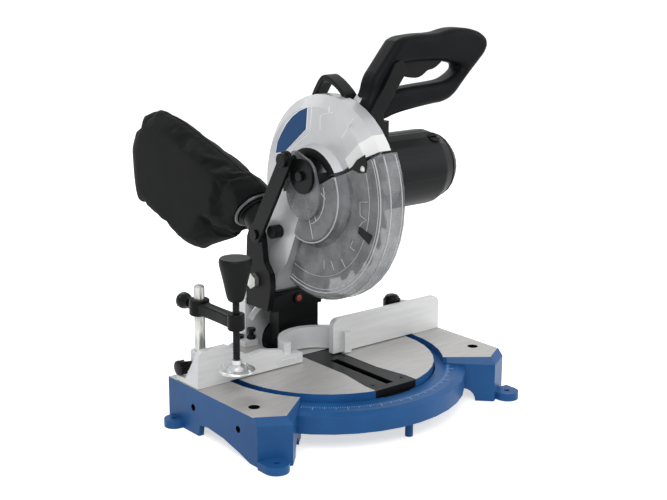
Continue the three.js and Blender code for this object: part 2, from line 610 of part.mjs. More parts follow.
function clampFootDisc() {
  const { radius, hub, shoulder, low, rim, neck, high } = clampFoot;
  return turned('z', [
    [0, low], [radius, low], [radius, low + rim], [shoulder, neck - rim], [hub, neck], [hub, high], [0, high],
  ], [postPlace[0], spindleY]);
}

// Bevel assembly

const tiltAxis = [0, table.height];
const bevelBoltPlace = arc(tiltAxis, bracket.slotRadius, bevelBolt.angle, bevelBolt.angle, 1)[0];
const bracketRear = bracket.from + bracket.thick;

function bevelBracket() {
  const upright = slab('y', [
    [-bracket.half, tableRest], [bracket.half, tableRest], [bracket.half, bracket.shoulder], [bracket.topHalf, bracket.top],
    [-bracket.topHalf, bracket.top], [-bracket.half, bracket.shoulder],
  ], bracket.from, bracketRear);
  const { inner, outer, front, tongue, tongueBottom } = bracketFoot;
  const footTop = tableRest + bracketFoot.height;
  const tongueBlock = block([-tongue, tongue], [bracket.from, bracketRear], [tongueBottom, footTop]);
  const feet = both((side) => block(sided(side, inner, outer), [front, bracketRear], [tableRest, footTop]));
  const { slotRadius, slotHalf, slotStart, slotEnd } = bracket;
  const slotOuter = arc(tiltAxis, slotRadius + slotHalf, slotStart, slotEnd, 10);
  const slotInner = arc(tiltAxis, slotRadius - slotHalf, slotEnd, slotStart, 10);
  const slot = slab('y', [...slotOuter, ...slotInner], bracket.from - overrun, bracketRear + overrun);
  const [screwX, screwY] = bracketScrew.place;
  return cut(
    join(upright, tongueBlock, feet), slot,
    bar('y', tiltBolt.radius + gap, bracket.from - overrun, bracketRear + overrun, tiltAxis),
    both((side) => bar('z', bracketScrew.radius + gap, tableRest - overrun, table.height * 2, [side * screwX, screwY], coarse)),
    bar('z', stopScrew.radius + gap, tableRest - overrun, table.height * 2, stopScrew.place, coarse),
  );
}

function bevelStopScrew() {
  const { radius, head, headHeight, place, low, high } = stopScrew;
  return join(
    bar('z', head, low, low + headHeight, place, 6), bar('z', radius, tableRest, high, place, coarse),
    bar('z', head, high - headHeight, high, place, 6),
  );
}

function tiltFork() {
  const column = slab('x', forkSide, -fork.left, fork.right);
  const pivotBoss = bar('y', fork.bossRadius, fork.front, fork.bossRear, tiltAxis);
  const boltBoss = bar('y', fork.boltBoss, fork.front + overrun, fork.bossRear, bevelBoltPlace);
  const ears = [
    slab('x', earLeft, -fork.earInner - fork.earThick, -fork.earInner),
    slab('x', earRight, fork.earInner, fork.earInner + fork.earThick),
  ];
  const webSide = [[fork.front, fork.webLow], [fork.rear, fork.webLow], ...forkSide.slice(2)];
  const webs = [
    slab('x', webSide, -fork.earInner - fork.overlap, fork.overlap - fork.left),
    slab('x', webSide, fork.right - fork.overlap, fork.earInner + fork.overlap),
  ];
  const armSpace = bar('x', hinge.knuckleRoom, -fork.earInner, fork.earInner, [hinge.y, hinge.z]);
  return cut(
    join(column, pivotBoss, boltBoss, ears, webs), armSpace,
    bar('y', laser.radius + gap, fork.front - overrun, fork.front + laser.length, laser.place),
    bar('y', tiltBolt.radius + gap, fork.front - overrun, fork.bossRear + overrun, tiltAxis),
    bar('y', tiltBolt.head + gap, fork.front - overrun, tiltBolt.from + tiltBolt.headLength + gap, tiltAxis),
    bar('x', hinge.pin + gap, -table.radius, table.radius, [hinge.y, hinge.z]),
    bar('y', bevelBolt.radius + gap, bevelBolt.nose - gap, fork.bossRear + overrun, bevelBoltPlace, coarse),
    bar('x', linkScrew.radius + gap, -table.radius, 0, [link.y, link.z], coarse),
    bar('x', lockPin.radius + gap, lockPin.tip - gap, table.radius, [lockPin.y, lockPin.z], coarse),
  );
}

function tiltBoltSolid() {
  const { radius, head, headLength, from } = tiltBolt;
  return join(bar('y', head, from, from + headLength, tiltAxis, 6), bar('y', radius, from, bracketRear - gap, tiltAxis));
}

// The clamp bolt and its lever turn as one
function bevelLever() {
  const [x, z] = bevelBoltPlace;
  const [from, to] = [bracketRear + gap, bracketRear + lever.thick];
  const tilt = radians(lever.tilt);
  const root = [x, (from + to) / 2, z];
  const tip = [x + lever.length * Math.cos(tilt), to + lever.rise, z + lever.length * Math.sin(tilt)];
  const middle = [(x + tip[0]) / 2, to, (z + tip[2]) / 2];
  const grip = swept([root, middle, tip], lever.barRadius, 10);
  const bolt = bar('y', bevelBolt.radius, bevelBolt.nose, to, bevelBoltPlace, coarse);
  return join(bar('y', lever.hub, from, to, [x, z]), grip, bolt);
}

function laserModule() {
  const front = fork.front - laser.lensDepth;
  const shell = bar('y', laser.radius, front, fork.front + laser.length - gap, laser.place);
  return cut(shell, bar('y', laser.lens + gap, front - overrun, front + laser.lensDepth + gap, laser.place, coarse));
}

function laserLens() {
  const front = fork.front - laser.lensDepth;
  return bar('y', laser.lens, front, front + laser.lensDepth, laser.place, coarse);
}

// The bolt's head on the left and its lock nut on the right
function hingePin() {
  const outer = fork.earInner + fork.earThick;
  const place = [hinge.y, hinge.z];
  const head = bar('x', nut.radius, -outer - nut.thick, -outer - gap, place, 6);
  const lockNut = bar('x', nut.radius, outer + gap, outer + nut.thick, place, 6);
  return join(head, lockNut, bar('x', hinge.pin, -outer - nut.thick / 2, outer + nut.thick + gap * 2, place));
}

function returnSpring() {
  const count = spring.turns * spring.perTurn;
  const points = Array.from({ length: count + 1 }, (_, i) => {
    const angle = 2 * Math.PI * i / spring.perTurn;
    const x = spring.from + spring.wire + (spring.to - spring.from - spring.wire * 2) * i / count;
    return [x, hinge.y + spring.coil * Math.cos(angle), hinge.z + spring.coil * Math.sin(angle)];
  });
  return swept(points, spring.wire, 5, 1);
}

// Drawn pulled out, so its knob stands off the ear by its travel
function headLockPin() {
  const pulled = fork.earInner + fork.earThick + lockPin.travel + gap;
  return turned('x', [
    [0, lockPin.tip], [lockPin.radius, lockPin.tip], [lockPin.radius, pulled], [lockPin.knob, pulled],
    [lockPin.knob, pulled + lockPin.knobLength], [0, pulled + lockPin.knobLength],
  ], [lockPin.y, lockPin.z], coarse);
}

// Head

const arborPlace = [arbor.y, arbor.z];

// A wedge that keeps the angles between start and end about the arbor
function wedge(start, end, reach, from, to) {
  return slab('x', [arborPlace, ...arc(arborPlace, reach, start, end, 12)], from, to);
}

function upperGuard() {
  const { radius, shoulder, left, face, wall, hubRadius, hubFoot, hubEdge, hubBevel, hubFace, opening, right } = cover;
  const shell = turned('x', [
    [opening, hubFace], [hubEdge, hubFace], [hubRadius, hubBevel], [hubFoot, face], [shoulder, face], [radius, left],
    [radius, right], [opening, right], [opening, right - wall], [radius - wall, right - wall], [radius - wall, coverInside.left],
    [coverInside.shoulder, face + wall], [coverInside.hubFoot, face + wall], [coverInside.hubEdge, coverInside.hubBevel],
    [opening, hubFace + wall], [opening, hubFace],
  ], arborPlace, fine);
  const hood = common(shell, wedge(coverSweep.start, coverSweep.end, farOut, hubFace - overrun, right + overrun));
  const armBody = slab('x', headArm, hinge.armLeft, hinge.armHalf);
  const knuckle = bar('x', hinge.knuckle, -hinge.armHalf, hinge.armHalf, [hinge.y, hinge.z]);
  const bladeSpace = bar('x', armCut.radius, armCut.left, right - wall, arborPlace, fine);
  const guardSpace = common(
    bar('x', clear.radius + clear.room, clear.face * 2, right + overrun, arborPlace, fine),
    wedge(clear.start - clear.travel - clear.slack, clear.end + clear.slack, farOut, clear.face * 3, right + overrun * 2),
  );
  const arms = cut(join(armBody, knuckle), bladeSpace, guardSpace, gearSpace());
  return cut(
    join(hood, arms),
    bar('x', hinge.pin + gap, -table.radius, table.radius, [hinge.y, hinge.z]),
    portTools(), bufferTool(), bailTools(),
    bar('x', lockPin.radius + gap, hinge.armHalf - lockPin.depth, hinge.armHalf + overrun, lockPin.hole, coarse),
  );
}

function gearSpace() {
  return slab('x', gearOutline(gap), gear.from - gap, gear.to + overrun);
}

function gearOutline(grow) {
  const round = (place, radius) => arc(place, radius + grow, 0, 360, fine).slice(1);
  return hullOf([...round(arborPlace, gear.arborRadius), ...round([motor.y, motor.z], gear.motorRadius)]);
}

// Convex outline round a set of points
function hullOf(points) {
  const sorted = [...points].sort((p, q) => p[0] - q[0] || p[1] - q[1]);
  const side = (list) => {
    const chain = [];
    list.forEach((p) => {
      while (chain.length > 1) {
        const [a, b] = chain.slice(-2);
        if ((b[0] - a[0]) * (p[1] - a[1]) - (b[1] - a[1]) * (p[0] - a[0]) > 0) break;
        chain.pop();
      }
      chain.push(p);
    });
    return chain.slice(0, -1);
  };
  return [...side(sorted), ...side(sorted.reverse())];
}

// The neck carries the stem that the handle is screwed to, and the pin that the release lever turns on
function gearHousing() {
  const shell = slab('x', gearOutline(0), gear.from, gear.to);
  const inner = slab('x', gearOutline(-gear.wall), gear.from + gear.wall, gear.to + overrun);
  const neck = block([gear.from, gear.to], [gear.neckFront, gear.neckRear], [gear.neckLow, gear.neckTop]);
  const stem = slab('y', stemOutline, handle.middle + gap, gear.neckRear);
  return cut(
    join(cut(shell, inner), cut(neck, inner), stem, releaseBoss()),
    bar('x', arbor.radius + gap, gear.from - overrun, gear.from + gear.wall + overrun, arborPlace),
  );
}

function releaseBoss() {
  const seat = release.to + gap;
  return join(
    bar('y', release.pin, release.from - gap * 2, gear.neckFront + overrun, release.pivot, coarse),
    bar('y', release.boss, seat, gear.neckFront + overrun, release.pivot, coarse),
  );
}

const motorPlace = [motor.y, motor.z];

// The shaft with the inner flange and the driven gear, turned and cut as one
function arborShaft() {
  const { radius, to } = arbor;
  const inner = blade.body + gap;
  return join(
    bar('x', radius, -inner - flange.thick - gap, to, arborPlace),
    bar('x', flange.radius, inner, inner + flange.thick, arborPlace),
    bar('x', ringGear.radius, ringGear.from, ringGear.to, arborPlace, fine),
  );
}

function outerFlange() {
  const to = -blade.body - gap;
  const hole = bar('x', arbor.radius + gap, to - flange.thick - overrun, to + overrun, arborPlace);
  return cut(bar('x', flange.radius, to - flange.thick, to, arborPlace), hole);
}

function arborBoltSolid() {
  const seat = -blade.body - gap * 2 - flange.thick - gap;
  const washer = bar('x', arborBolt.washer, seat - arborBolt.washerThick, seat, arborPlace);
  return join(washer, bar('x', arborBolt.head, seat - arborBolt.length, seat - arborBolt.washerThick / 2, arborPlace, 6));
}

function sawBlade() {
  const pitch = 360 / blade.teeth;
  const corners = [
    [blade.radius, 0], [blade.gullet, tooth.gulletFrom], [blade.gullet, tooth.gulletTo], [blade.heel, tooth.heel],
  ];
  const outline = Array.from({ length: blade.teeth }, (_, i) => corners.map(([radius, share]) => {
    const angle = radians(pitch * (i + share));
    return [arbor.y + radius * Math.cos(angle), arbor.z + radius * Math.sin(angle)];
  })).flat();
  return cut(slab('x', outline, -blade.body, blade.body), bar('x', blade.bore, -overrun, overrun, arborPlace));
}

function motorHousing() {
  const { radius, from, shoulder, to, endRadius, wall, facets } = motor;
  const shell = turned('x', [
    [radius - wall, from], [radius, from], [radius, shoulder], [endRadius, to], [endRadius - wall, to],
    [radius - wall, shoulder - wall], [radius - wall, from],
  ], motorPlace, facets * 2);
  const [y, z] = motorPlace;
  const holes = brush.angles.map((angle) => {
    const hole = bar('z', brush.radius + gap, 0, motor.radius * 2, [brush.x, 0], coarse);
    return hole.rotateX(radians(angle - 90)).translate(0, y, z);
  });
  return cut(shell, holes);
}

function brushCap(index) {
  const [y, z] = motorPlace;
  const cap = bar('z', brush.radius, brush.inner, brush.outer, [brush.x, 0], coarse);
  const slot = block(
    [brush.x - brush.radius, brush.x + brush.radius], [-brush.slot, brush.slot], [motor.radius - brush.slot, motor.radius * 2],
  );
  return cut(cap, slot).rotateX(radians(brush.angles[index] - 90)).translate(0, y, z);
}

function motorEndCap() {
  const { from, to, edge, small, dish, dishFloor, recess } = endCap;
  return turned('x', [
    [0, from], [motor.endRadius, from], [edge, from + recess], [small, to], [dish, to], [dishFloor, to - recess], [0, to - recess],
  ], motorPlace, motor.facets * 2);
}

function armature() {
  const r = rotor;
  return turned('x', [
    [0, r.shaftFrom], [r.pinion, r.shaftFrom], [r.pinion, ringGear.to], [r.shaft, ringGear.to], [r.shaft, r.from],
    [r.radius, r.from], [r.radius, r.to], [r.shaft, r.to], [r.shaft, r.fanFrom], [r.fan, r.fanFrom], [r.fan, r.fanTo],
    [r.shaft, r.fanTo], [r.shaft, r.shaftTo], [0, r.shaftTo],
  ], [motor.y, motor.z]);
}

// Handle

function handleShell(from, to) {
  const { middle, rear } = handle;
  const body = slab('y', handleOuter, from, to, [handleHole]);
  const pocket = slab('y', triggerPocket, middle - trigger.half - gap * 2, middle + trigger.half + gap * 2);
  const switchRoom = block(
    [powerSwitch.from - gap, powerSwitch.to + gap], [middle - powerSwitch.half - gap, middle + powerSwitch.half + gap],
    [powerSwitch.low - gap, powerSwitch.high + gap],
  );
  const button = bar('y', lockButton.radius + gap, middle, rear + overrun, lockButton.place, coarse);
  const stemRoom = slab('y', insetOutline(stemOutline, -gap), middle, rear + overrun);
  return cut(body, pocket, switchRoom, button, stemRoom);
}

const handleFront = () => handleShell(handle.front, handle.middle - gap / 2);
const handleRear = () => handleShell(handle.middle + gap / 2, handle.rear);

function triggerSolid() {
  return slab('y', triggerOutline, handle.middle - trigger.half, handle.middle + trigger.half);
}

function lockOffButton() {
  const inner = handle.middle + lockButton.reach + gap;
  return bar('y', lockButton.radius, inner, handle.rear + lockButton.reach, lockButton.place, coarse);
}

function powerSwitchBody() {
  const { from, to, low, high, half } = powerSwitch;
  return block([from, to], [handle.middle - half, handle.middle + half], [low, high]);
}

function releaseLever() {
  const hole = bar('y', release.pin + gap, release.from - overrun, release.to + overrun, release.pivot, coarse);
  return cut(slab('y', release.outline, release.from, release.to), hole);
}

function carryHandle() {
  return slab('x', [...bail.outer, ...bail.inner], bail.from, bail.to);
}

function bailTools() {
  return slab('x', insetOutline([...bail.outer, ...bail.inner], -gap), bail.from - gap, bail.to + gap);
}

// Dust port, bag and small parts of the head

function portBar(radius, from, to, sides = medium) {
  const geometry = bar('y', radius, from, to, [0, 0], sides);
  return geometry.rotateX(radians(port.angle)).translate(port.x, port.y, port.z);
}

function portTools() {
  const passage = bar('y', chute.radius, -chute.length, 0).rotateX(radians(chute.angle)).translate(port.x, ...chute.from);
  return [portBar(port.outer + gap, port.start, port.length * 2), passage];
}

function dustPort() {
  const start = port.start + gap;
  const tube = join(portBar(port.outer, start, port.length), portBar(port.collar, port.length - port.collarLength, port.length));
  return cut(tube, portBar(port.inner, start - overrun, port.length + overrun));
}

function dustBag() {
  const { seamHalf, inset, nearHalf, farHalf, nearEnd, farEnd, neckRadius, neckEnd, cutRadius } = bag;
  const half = (y) => nearHalf + (farHalf - nearHalf) * (y - nearEnd) / (farEnd - nearEnd);
  const pair = (x, y, z) => [[port.x - x, y, z], [port.x + x, y, z]];
  const seam = bagSeam.flatMap(([y, z]) => pair(seamHalf, y, z));
  const sides = insetOutline(bagSeam, inset).flatMap(([y, z]) => pair(half(y), y, z));
  const neck = portBar(neckRadius, clip.offset, neckEnd);
  return cut(
    wrapped([...seam, ...sides], neck),
    portBar(port.collar + gap, 0, port.length + gap),
    portBar(cutRadius, 0, clip.offset + clip.wire + gap),
  );
}

function bagClip() {
  const ringPoints = arc([0, 0], port.collar + clip.wire + gap, 0, clip.sweep, clip.points);
  const tilt = radians(port.angle);
  const points = ringPoints.map(([a, b]) => {
    const spot = new THREE.Vector3(a, clip.offset, b).applyAxisAngle(new THREE.Vector3(1, 0, 0), tilt);
    return spot.add(new THREE.Vector3(port.x, port.y, port.z)).toArray();
  });
  return swept(points, clip.wire, 6, 1);
}

function bufferTool() {
  return bar('x', buffer.radius / 2 + gap, buffer.from, buffer.boreTo, [buffer.y, buffer.z], coarse);
}

function stopBuffer() {
  const { y, z, radius, from, to, stemFrom, stemTo } = buffer;
  return join(bar('x', radius, from, to - gap, [y, z], coarse), bar('x', radius / 2, stemFrom, stemTo, [y, z], coarse));
}

// Lower guard, its cover disc and the link that turns it

function lowerGuard() {
  const { radius, rim, bevel, left, right, shoulder, dome, domeBevel, face, wall, eye, start, end } = clear;
  const inside = clearInside;
  const shell = turned('x', [
    [eye, face], [dome - domeBevel, face], [dome, face + domeBevel], [dome + domeBevel, left - bevel], [shoulder, left],
    [radius - bevel, left], [radius, left + bevel], [radius, right], [rim, right], [rim, inside.left],
    [rim - inside.bevel, left + wall], [inside.shoulder, left + wall], [inside.dome, inside.foot],
    [inside.domeEdge, inside.domeFoot], [inside.domeTop, face + wall], [eye, face + wall], [eye, face],
  ], arborPlace, fine);
  return common(shell, wedge(start, end, farOut, face - overrun, right + overrun));
}

const discPlace = [disc.y, disc.z];
const pinPlace = [linkPin.y, linkPin.z];
const screwPlace = [link.y, link.z];
const circle = (place, radius, sides) => arc(place, radius, 0, 360, sides);

// Hub plate on the clear guard, with the arm that carries the disc and the link's pin
function guardHubPlate() {
  const { outer, from, to, lobe } = guardHub;
  const outline = hullOf([
    ...circle(arborPlace, outer, fine), ...circle(discPlace, disc.radius, fine), ...circle(pinPlace, lobe, medium),
  ]);
  return cut(
    slab('x', outline, from, to), bar('x', linkPin.radius + gap, from - overrun, to + overrun, pinPlace, coarse),
    bar('x', discBolt.radius / 2 + gap, from - overrun, to + overrun, discPlace, coarse),
  );
}

function guardCover() {
  const hole = bar('x', discBolt.radius / 2 + gap, disc.from - overrun, disc.to + overrun, discPlace, coarse);
  return cut(bar('x', disc.radius, disc.from, disc.to, discPlace), hole);
}

function coverBolt() {
  return join(
    bar('x', discBolt.radius, disc.from - discBolt.head, disc.from - gap, discPlace, 6),
    bar('x', discBolt.radius / 2, disc.from - discBolt.head / 2, guardHub.to, discPlace, coarse),
  );
}

// A stub on the hub plate that ends just behind the link
function linkPinSolid() {
  return bar('x', linkPin.radius, link.to + gap, guardHub.to, pinPlace, coarse);
}

function guardLink() {
  const { from, to, width, tip, cap, capHeight } = link;
  const body = slab('x', hullOf([...circle(screwPlace, width, medium), ...circle(pinPlace, tip, medium)]), from, to);
  const round = bar('x', cap, from - capHeight, (from + to) / 2, pinPlace);
  return cut(join(body, round), bar('x', linkScrew.radius + gap, from - overrun, to + overrun, screwPlace, coarse));
}

function linkScrewSolid() {
  return join(
    bar('x', linkScrew.head, link.from - gap - linkScrew.headHeight, link.from - gap, screwPlace, coarse),
    bar('x', linkScrew.radius, link.from - linkScrew.headHeight, -fork.earInner, screwPlace, coarse),
  );
}

// The scene graph

const saw = new THREE.Group();
saw.name = 'mitre_saw';

function add(name, geometry, colour, roughness, metalness) {
  const material = new THREE.MeshStandardMaterial({ color: colour, roughness, metalness });
  material.name = name;
  const mesh = new THREE.Mesh(geometry, material);
  mesh.name = name;
  saw.add(mesh);
}

// The bevel assembly and the head stand on the rear of the table, so they move with its edge
const addBehind = (name, geometry, ...look) => add(name, geometry.translate(0, spread, 0), ...look);

const { blue, silver, grey, black, shell, rubber, steel, zinc, chrome, fabric, brass, red } = paint;

add('base_casting', baseCasting(), blue, 0.45, 0.1);
add('front_foot', frontFoot(), blue, 0.5, 0.1);
add('fence', fenceCasting(), grey, 0.45, 0.6);
fenceScrewPlaces.forEach((place, i) => {
  add(`fence_screw_${i + 1}`, socketScrew(fenceScrew, place, tableRest + fence.bed + gap), black, 0.4, 0.7);
});
add('mitre_lock_knob', mitreLockKnob(), rubber, 0.5, 0);
add('turntable', turntable(), grey, 0.4, 0.7);
add('pivot_bolt', pivotBolt(), steel, 0.35, 0.9);
add('table_insert', tableInsert(), black, 0.6, 0);
insertScrewPlaces.forEach((place, i) => {
  add(`insert_screw_${i + 1}`, socketScrew(insertScrew, place, insertTop - insertScrew.headHeight), steel, 0.4, 0.8);
});

add('clamp_post', bar('z', post.radius, post.bottom, post.top, postPlace), zinc, 0.25, 0.9);
add('post_lock_knob', postLockKnob(), rubber, 0.5, 0);
add('clamp_arm', clampArm(), black, 0.5, 0.2);
add('arm_thumbscrew', armThumbscrew(), rubber, 0.5, 0);
add('clamp_spindle', clampSpindle(), rubber, 0.45, 0.1);
add('clamp_foot', clampFootDisc(), chrome, 0.2, 0.95);

addBehind('bevel_bracket', bevelBracket(), silver, 0.5, 0.5);
both((side) => [side * bracketScrew.place[0], bracketScrew.place[1]]).forEach((place, i) => {
  const seat = tableRest + bracketFoot.height + gap;
  addBehind(`bracket_screw_${i + 1}`, socketScrew(bracketScrew, place, seat), black, 0.4, 0.7);
});
addBehind('bevel_stop_screw', bevelStopScrew(), black, 0.4, 0.6);
addBehind('tilt_fork', tiltFork(), black, 0.5, 0.2);
addBehind('tilt_bolt', tiltBoltSolid(), steel, 0.35, 0.9);
addBehind('bevel_lever', bevelLever(), rubber, 0.5, 0);
addBehind('laser_module', laserModule(), black, 0.4, 0.3);
addBehind('laser_lens', laserLens(), red, 0.1, 0);
addBehind('hinge_pin', hingePin(), steel, 0.35, 0.9);
addBehind('return_spring', returnSpring(), steel, 0.35, 0.9);
addBehind('head_lock_pin', headLockPin(), rubber, 0.5, 0.1);

addBehind('upper_guard', upperGuard(), silver, 0.4, 0.6);
addBehind('gear_housing', gearHousing(), silver, 0.45, 0.6);
addBehind('arbor_shaft', arborShaft(), steel, 0.3, 0.9);
addBehind('blade', sawBlade(), steel, 0.25, 0.95);
addBehind('outer_flange', outerFlange(), steel, 0.35, 0.9);
addBehind('arbor_bolt', arborBoltSolid(), steel, 0.35, 0.9);
addBehind('motor_housing', motorHousing(), shell, 0.55, 0);
addBehind('motor_end_cap', motorEndCap(), shell, 0.55, 0);
addBehind('armature', armature(), brass, 0.5, 0.7);
addBehind('brush_cap_1', brushCap(0), black, 0.5, 0);
addBehind('brush_cap_2', brushCap(1), black, 0.5, 0);
addBehind('handle_front', handleFront(), shell, 0.5, 0);
addBehind('handle_rear', handleRear(), shell, 0.5, 0);
addBehind('trigger', triggerSolid(), shell, 0.5, 0);
addBehind('lock_off_button', lockOffButton(), black, 0.5, 0);
addBehind('power_switch', powerSwitchBody(), black, 0.5, 0);
addBehind('release_lever', releaseLever(), black, 0.5, 0.1);
addBehind('carry_handle', carryHandle(), rubber, 0.5, 0);
addBehind('dust_port', dustPort(), black, 0.5, 0);
addBehind('dust_bag', dustBag(), fabric, 0.95, 0);
addBehind('bag_clip', bagClip(), zinc, 0.3, 0.9);
addBehind('stop_buffer', stopBuffer(), rubber, 0.7, 0);

addBehind('lower_guard', lowerGuard(), paint.clear, 0.15, 0);
addBehind('guard_hub', guardHubPlate(), zinc, 0.3, 0.8);
addBehind('guard_cover', guardCover(), black, 0.5, 0);
addBehind('cover_bolt', coverBolt(), black, 0.4, 0.5);
addBehind('link_pin', linkPinSolid(), black, 0.3, 0.3);
addBehind('guard_link', guardLink(), black, 0.5, 0.1);
addBehind('link_screw', linkScrewSolid(), steel, 0.35, 0.8);

export default saw;
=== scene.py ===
import math

import bmesh
import bpy
from mathutils import Matrix, Vector


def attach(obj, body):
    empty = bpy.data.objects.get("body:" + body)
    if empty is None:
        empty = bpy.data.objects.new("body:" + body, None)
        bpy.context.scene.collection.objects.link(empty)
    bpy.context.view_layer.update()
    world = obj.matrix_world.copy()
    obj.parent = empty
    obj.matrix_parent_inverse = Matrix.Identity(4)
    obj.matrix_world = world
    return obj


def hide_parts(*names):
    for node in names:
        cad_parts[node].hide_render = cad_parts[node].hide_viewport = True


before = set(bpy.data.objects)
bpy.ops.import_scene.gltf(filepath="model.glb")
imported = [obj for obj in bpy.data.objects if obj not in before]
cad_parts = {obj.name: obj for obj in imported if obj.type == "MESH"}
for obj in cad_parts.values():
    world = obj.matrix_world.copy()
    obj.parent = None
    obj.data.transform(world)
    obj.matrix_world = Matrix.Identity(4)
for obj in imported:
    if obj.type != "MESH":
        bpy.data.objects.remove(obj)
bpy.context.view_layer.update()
unit = 0.001  # sizes below are in millimetres

# Where the main parts stand, as the frame has them
arbor = (0, 254)  # y, z of the blade's axis
motorAxis = (-30, 273)
hingeAxis = (80, 137)
postPlace = (-154.1, 35.6)
spindlePlace = (-154.1, -35.2)


# Small helpers

def deselectAll():
    if bpy.context.object and bpy.context.object.mode != "OBJECT":
        bpy.ops.object.mode_set(mode="OBJECT")
    bpy.ops.object.select_all(action="DESELECT")


def pick(*pieces):
    deselectAll()
    for piece in pieces:
        piece.select_set(True)
    bpy.context.view_layer.objects.active = pieces[0]


def addObject(name, data):
    piece = bpy.data.objects.new(name, data)
    bpy.context.collection.objects.link(piece)
    return piece


def asMesh(curve):
    pick(addObject(curve.name, curve))
    bpy.ops.object.convert(target="MESH")
    return bpy.context.object


def freeze(piece):
    # put the place into the mesh
    pick(piece)
    bpy.ops.object.transform_apply(location=True, rotation=True, scale=True)


def useModifier(piece, kind, **settings):
    pick(piece)
    modifier = piece.modifiers.new(kind.title(), kind)
    for key, value in settings.items():
        setattr(modifier, key, value)
    bpy.ops.object.modifier_apply(modifier=modifier.name)


def smooth(piece, angle=35):
    pick(piece)
    bpy.ops.object.shade_smooth_by_angle(angle=math.radians(angle))
    useModifier(piece, "WEIGHTED_NORMAL", keep_sharp=True, weight=80)


def roundEdges(piece, width, steps=2, angle=30):
    useModifier(
        piece, "BEVEL", width=width * unit, segments=steps, limit_method="ANGLE",
        angle_limit=math.radians(angle), use_clamp_overlap=True,
    )


def turnOutwards(piece):
    pick(piece)
    bpy.ops.object.mode_set(mode="EDIT")
    bpy.ops.mesh.select_all(action="SELECT")
    bpy.ops.mesh.remove_doubles(threshold=0.00001)
    bpy.ops.mesh.normals_make_consistent(inside=False)
    bpy.ops.object.mode_set(mode="OBJECT")


def join(name, *pieces):
    pick(*pieces)
    if len(pieces) > 1:
        bpy.ops.object.join()
    pieces[0].name = name
    return pieces[0]


def carve(piece, *tools):
    for tool in tools:
        useModifier(piece, "BOOLEAN", operation="DIFFERENCE", object=tool, solver="EXACT")
        bpy.data.objects.remove(tool)
    return piece


def settle(piece, name, body, finish, *nodes):
    # paint it, let it ride on its body, and let it stand for its solids
    freeze(piece)
    piece.name = name
    if not piece.data.materials:
        piece.data.materials.append(finishes[finish])
    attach(piece, body)
    if nodes:
        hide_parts(*nodes)
    return piece


def paintFaces(piece, names, choose):
    # several finishes on one piece, shared out by a face's place and direction
    piece.data.materials.clear()
    for name in names:
        piece.data.materials.append(finishes[name])
    for face in piece.data.polygons:
        face.material_index = int(choose(face.center / unit, face.normal))


def solidCopy(node, edge=0.6, steps=2, angle=30):
    # the frame's own solid, merged, with its sharp edges rounded
    piece = addObject(node + "Dressed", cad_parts[node].data.copy())
    piece.data.materials.clear()
    pick(piece)
    bpy.ops.object.mode_set(mode="EDIT")
    bpy.ops.mesh.select_all(action="SELECT")
    bpy.ops.mesh.remove_doubles(threshold=0.00002)
    bpy.ops.mesh.dissolve_limited(angle_limit=math.radians(1.5))
    bpy.ops.object.mode_set(mode="OBJECT")
    if edge:
        roundEdges(piece, edge, steps, angle)
    smooth(piece)
    return piece


def dress(body, finish, edge, *nodes, steps=2):
    # solids that need no more than rounded edges, each piece named after its node
    for node in nodes:
        name = "".join(word.capitalize() for word in node.split("_"))
        settle(solidCopy(node, edge, steps), name, body, finish, node)


# Ways to lay a flat drawing or a turned shape along an axis
axisTurns = {
    "x": Matrix(((0, 0, 1, 0), (1, 0, 0, 0), (0, 1, 0, 0), (0, 0, 0, 1))),
    "y": Matrix(((1, 0, 0, 0), (0, 0, -1, 0), (0, 1, 0, 0), (0, 0, 0, 1))),
    "z": Matrix.Identity(4),
}


def drawLoops(loops, soft):
    # flat outlines as one curve, the first the outside and the rest holes
    curve = bpy.data.curves.new("outline", "CURVE")
    curve.dimensions = "2D"
    curve.fill_mode = "BOTH"
    for loop in loops:
        spline = curve.splines.new("BEZIER" if soft else "POLY")
        points = spline.bezier_points if soft else spline.points
        points.add(len(loop) - 1)
        for point, (a, b) in zip(points, loop):
            if soft:
                point.co = (a * unit, b * unit, 0)
                point.handle_left_type = point.handle_right_type = "AUTO"
            else:
                point.co = (a * unit, b * unit, 0, 1)
        spline.use_cyclic_u = True
    curve.resolution_u = 6
    return curve


def cutOut(axis, low, high, loops, edge=0.5, soft=False, steps=2):
    # a plate of that outline from low to high along the axis, with rounded edges
    curve = drawLoops(loops, soft)
    curve.extrude = (high - low) / 2 * unit - edge * unit
    curve.bevel_depth = edge * unit
    curve.bevel_resolution = steps
    curve.offset = -edge * unit
    piece = asMesh(curve)
    middle = (low + high) / 2 * unit
    if axis == "y":
        middle = -middle
    piece.matrix_world = axisTurns[axis] @ Matrix.Translation((0, 0, middle))
    freeze(piece)
    turnOutwards(piece)
    smooth(piece)
    return piece


def turned(axis, profile, place=(0, 0), sides=48):
    # pairs of radius and height spun round the axis
    curve = bpy.data.curves.new("profile", "CURVE")
    curve.dimensions = "3D"
    spline = curve.splines.new("POLY")
    spline.points.add(len(profile) - 1)
    for point, (radius, height) in zip(spline.points, profile):
        point.co = (radius * unit, 0, height * unit, 1)
    piece = asMesh(curve)
    bpy.ops.object.mode_set(mode="EDIT")
    bpy.ops.mesh.select_all(action="SELECT")
    bpy.ops.mesh.spin(steps=sides, angle=math.tau, center=(0, 0, 0), axis=(0, 0, 1))
    bpy.ops.object.mode_set(mode="OBJECT")
    turn = {
        "x": Matrix.Rotation(math.pi / 2, 4, "Y"),
        "y": Matrix.Rotation(-math.pi / 2, 4, "X"),
        "z": Matrix.Identity(4),
    }
    first, second = (value * unit for value in place)
    spot = {"x": (0, first, second), "y": (first, 0, second), "z": (first, second, 0)}
    piece.matrix_world = Matrix.Translation(spot[axis]) @ turn[axis]
    freeze(piece)
    turnOutwards(piece)
    smooth(piece)
    return piece


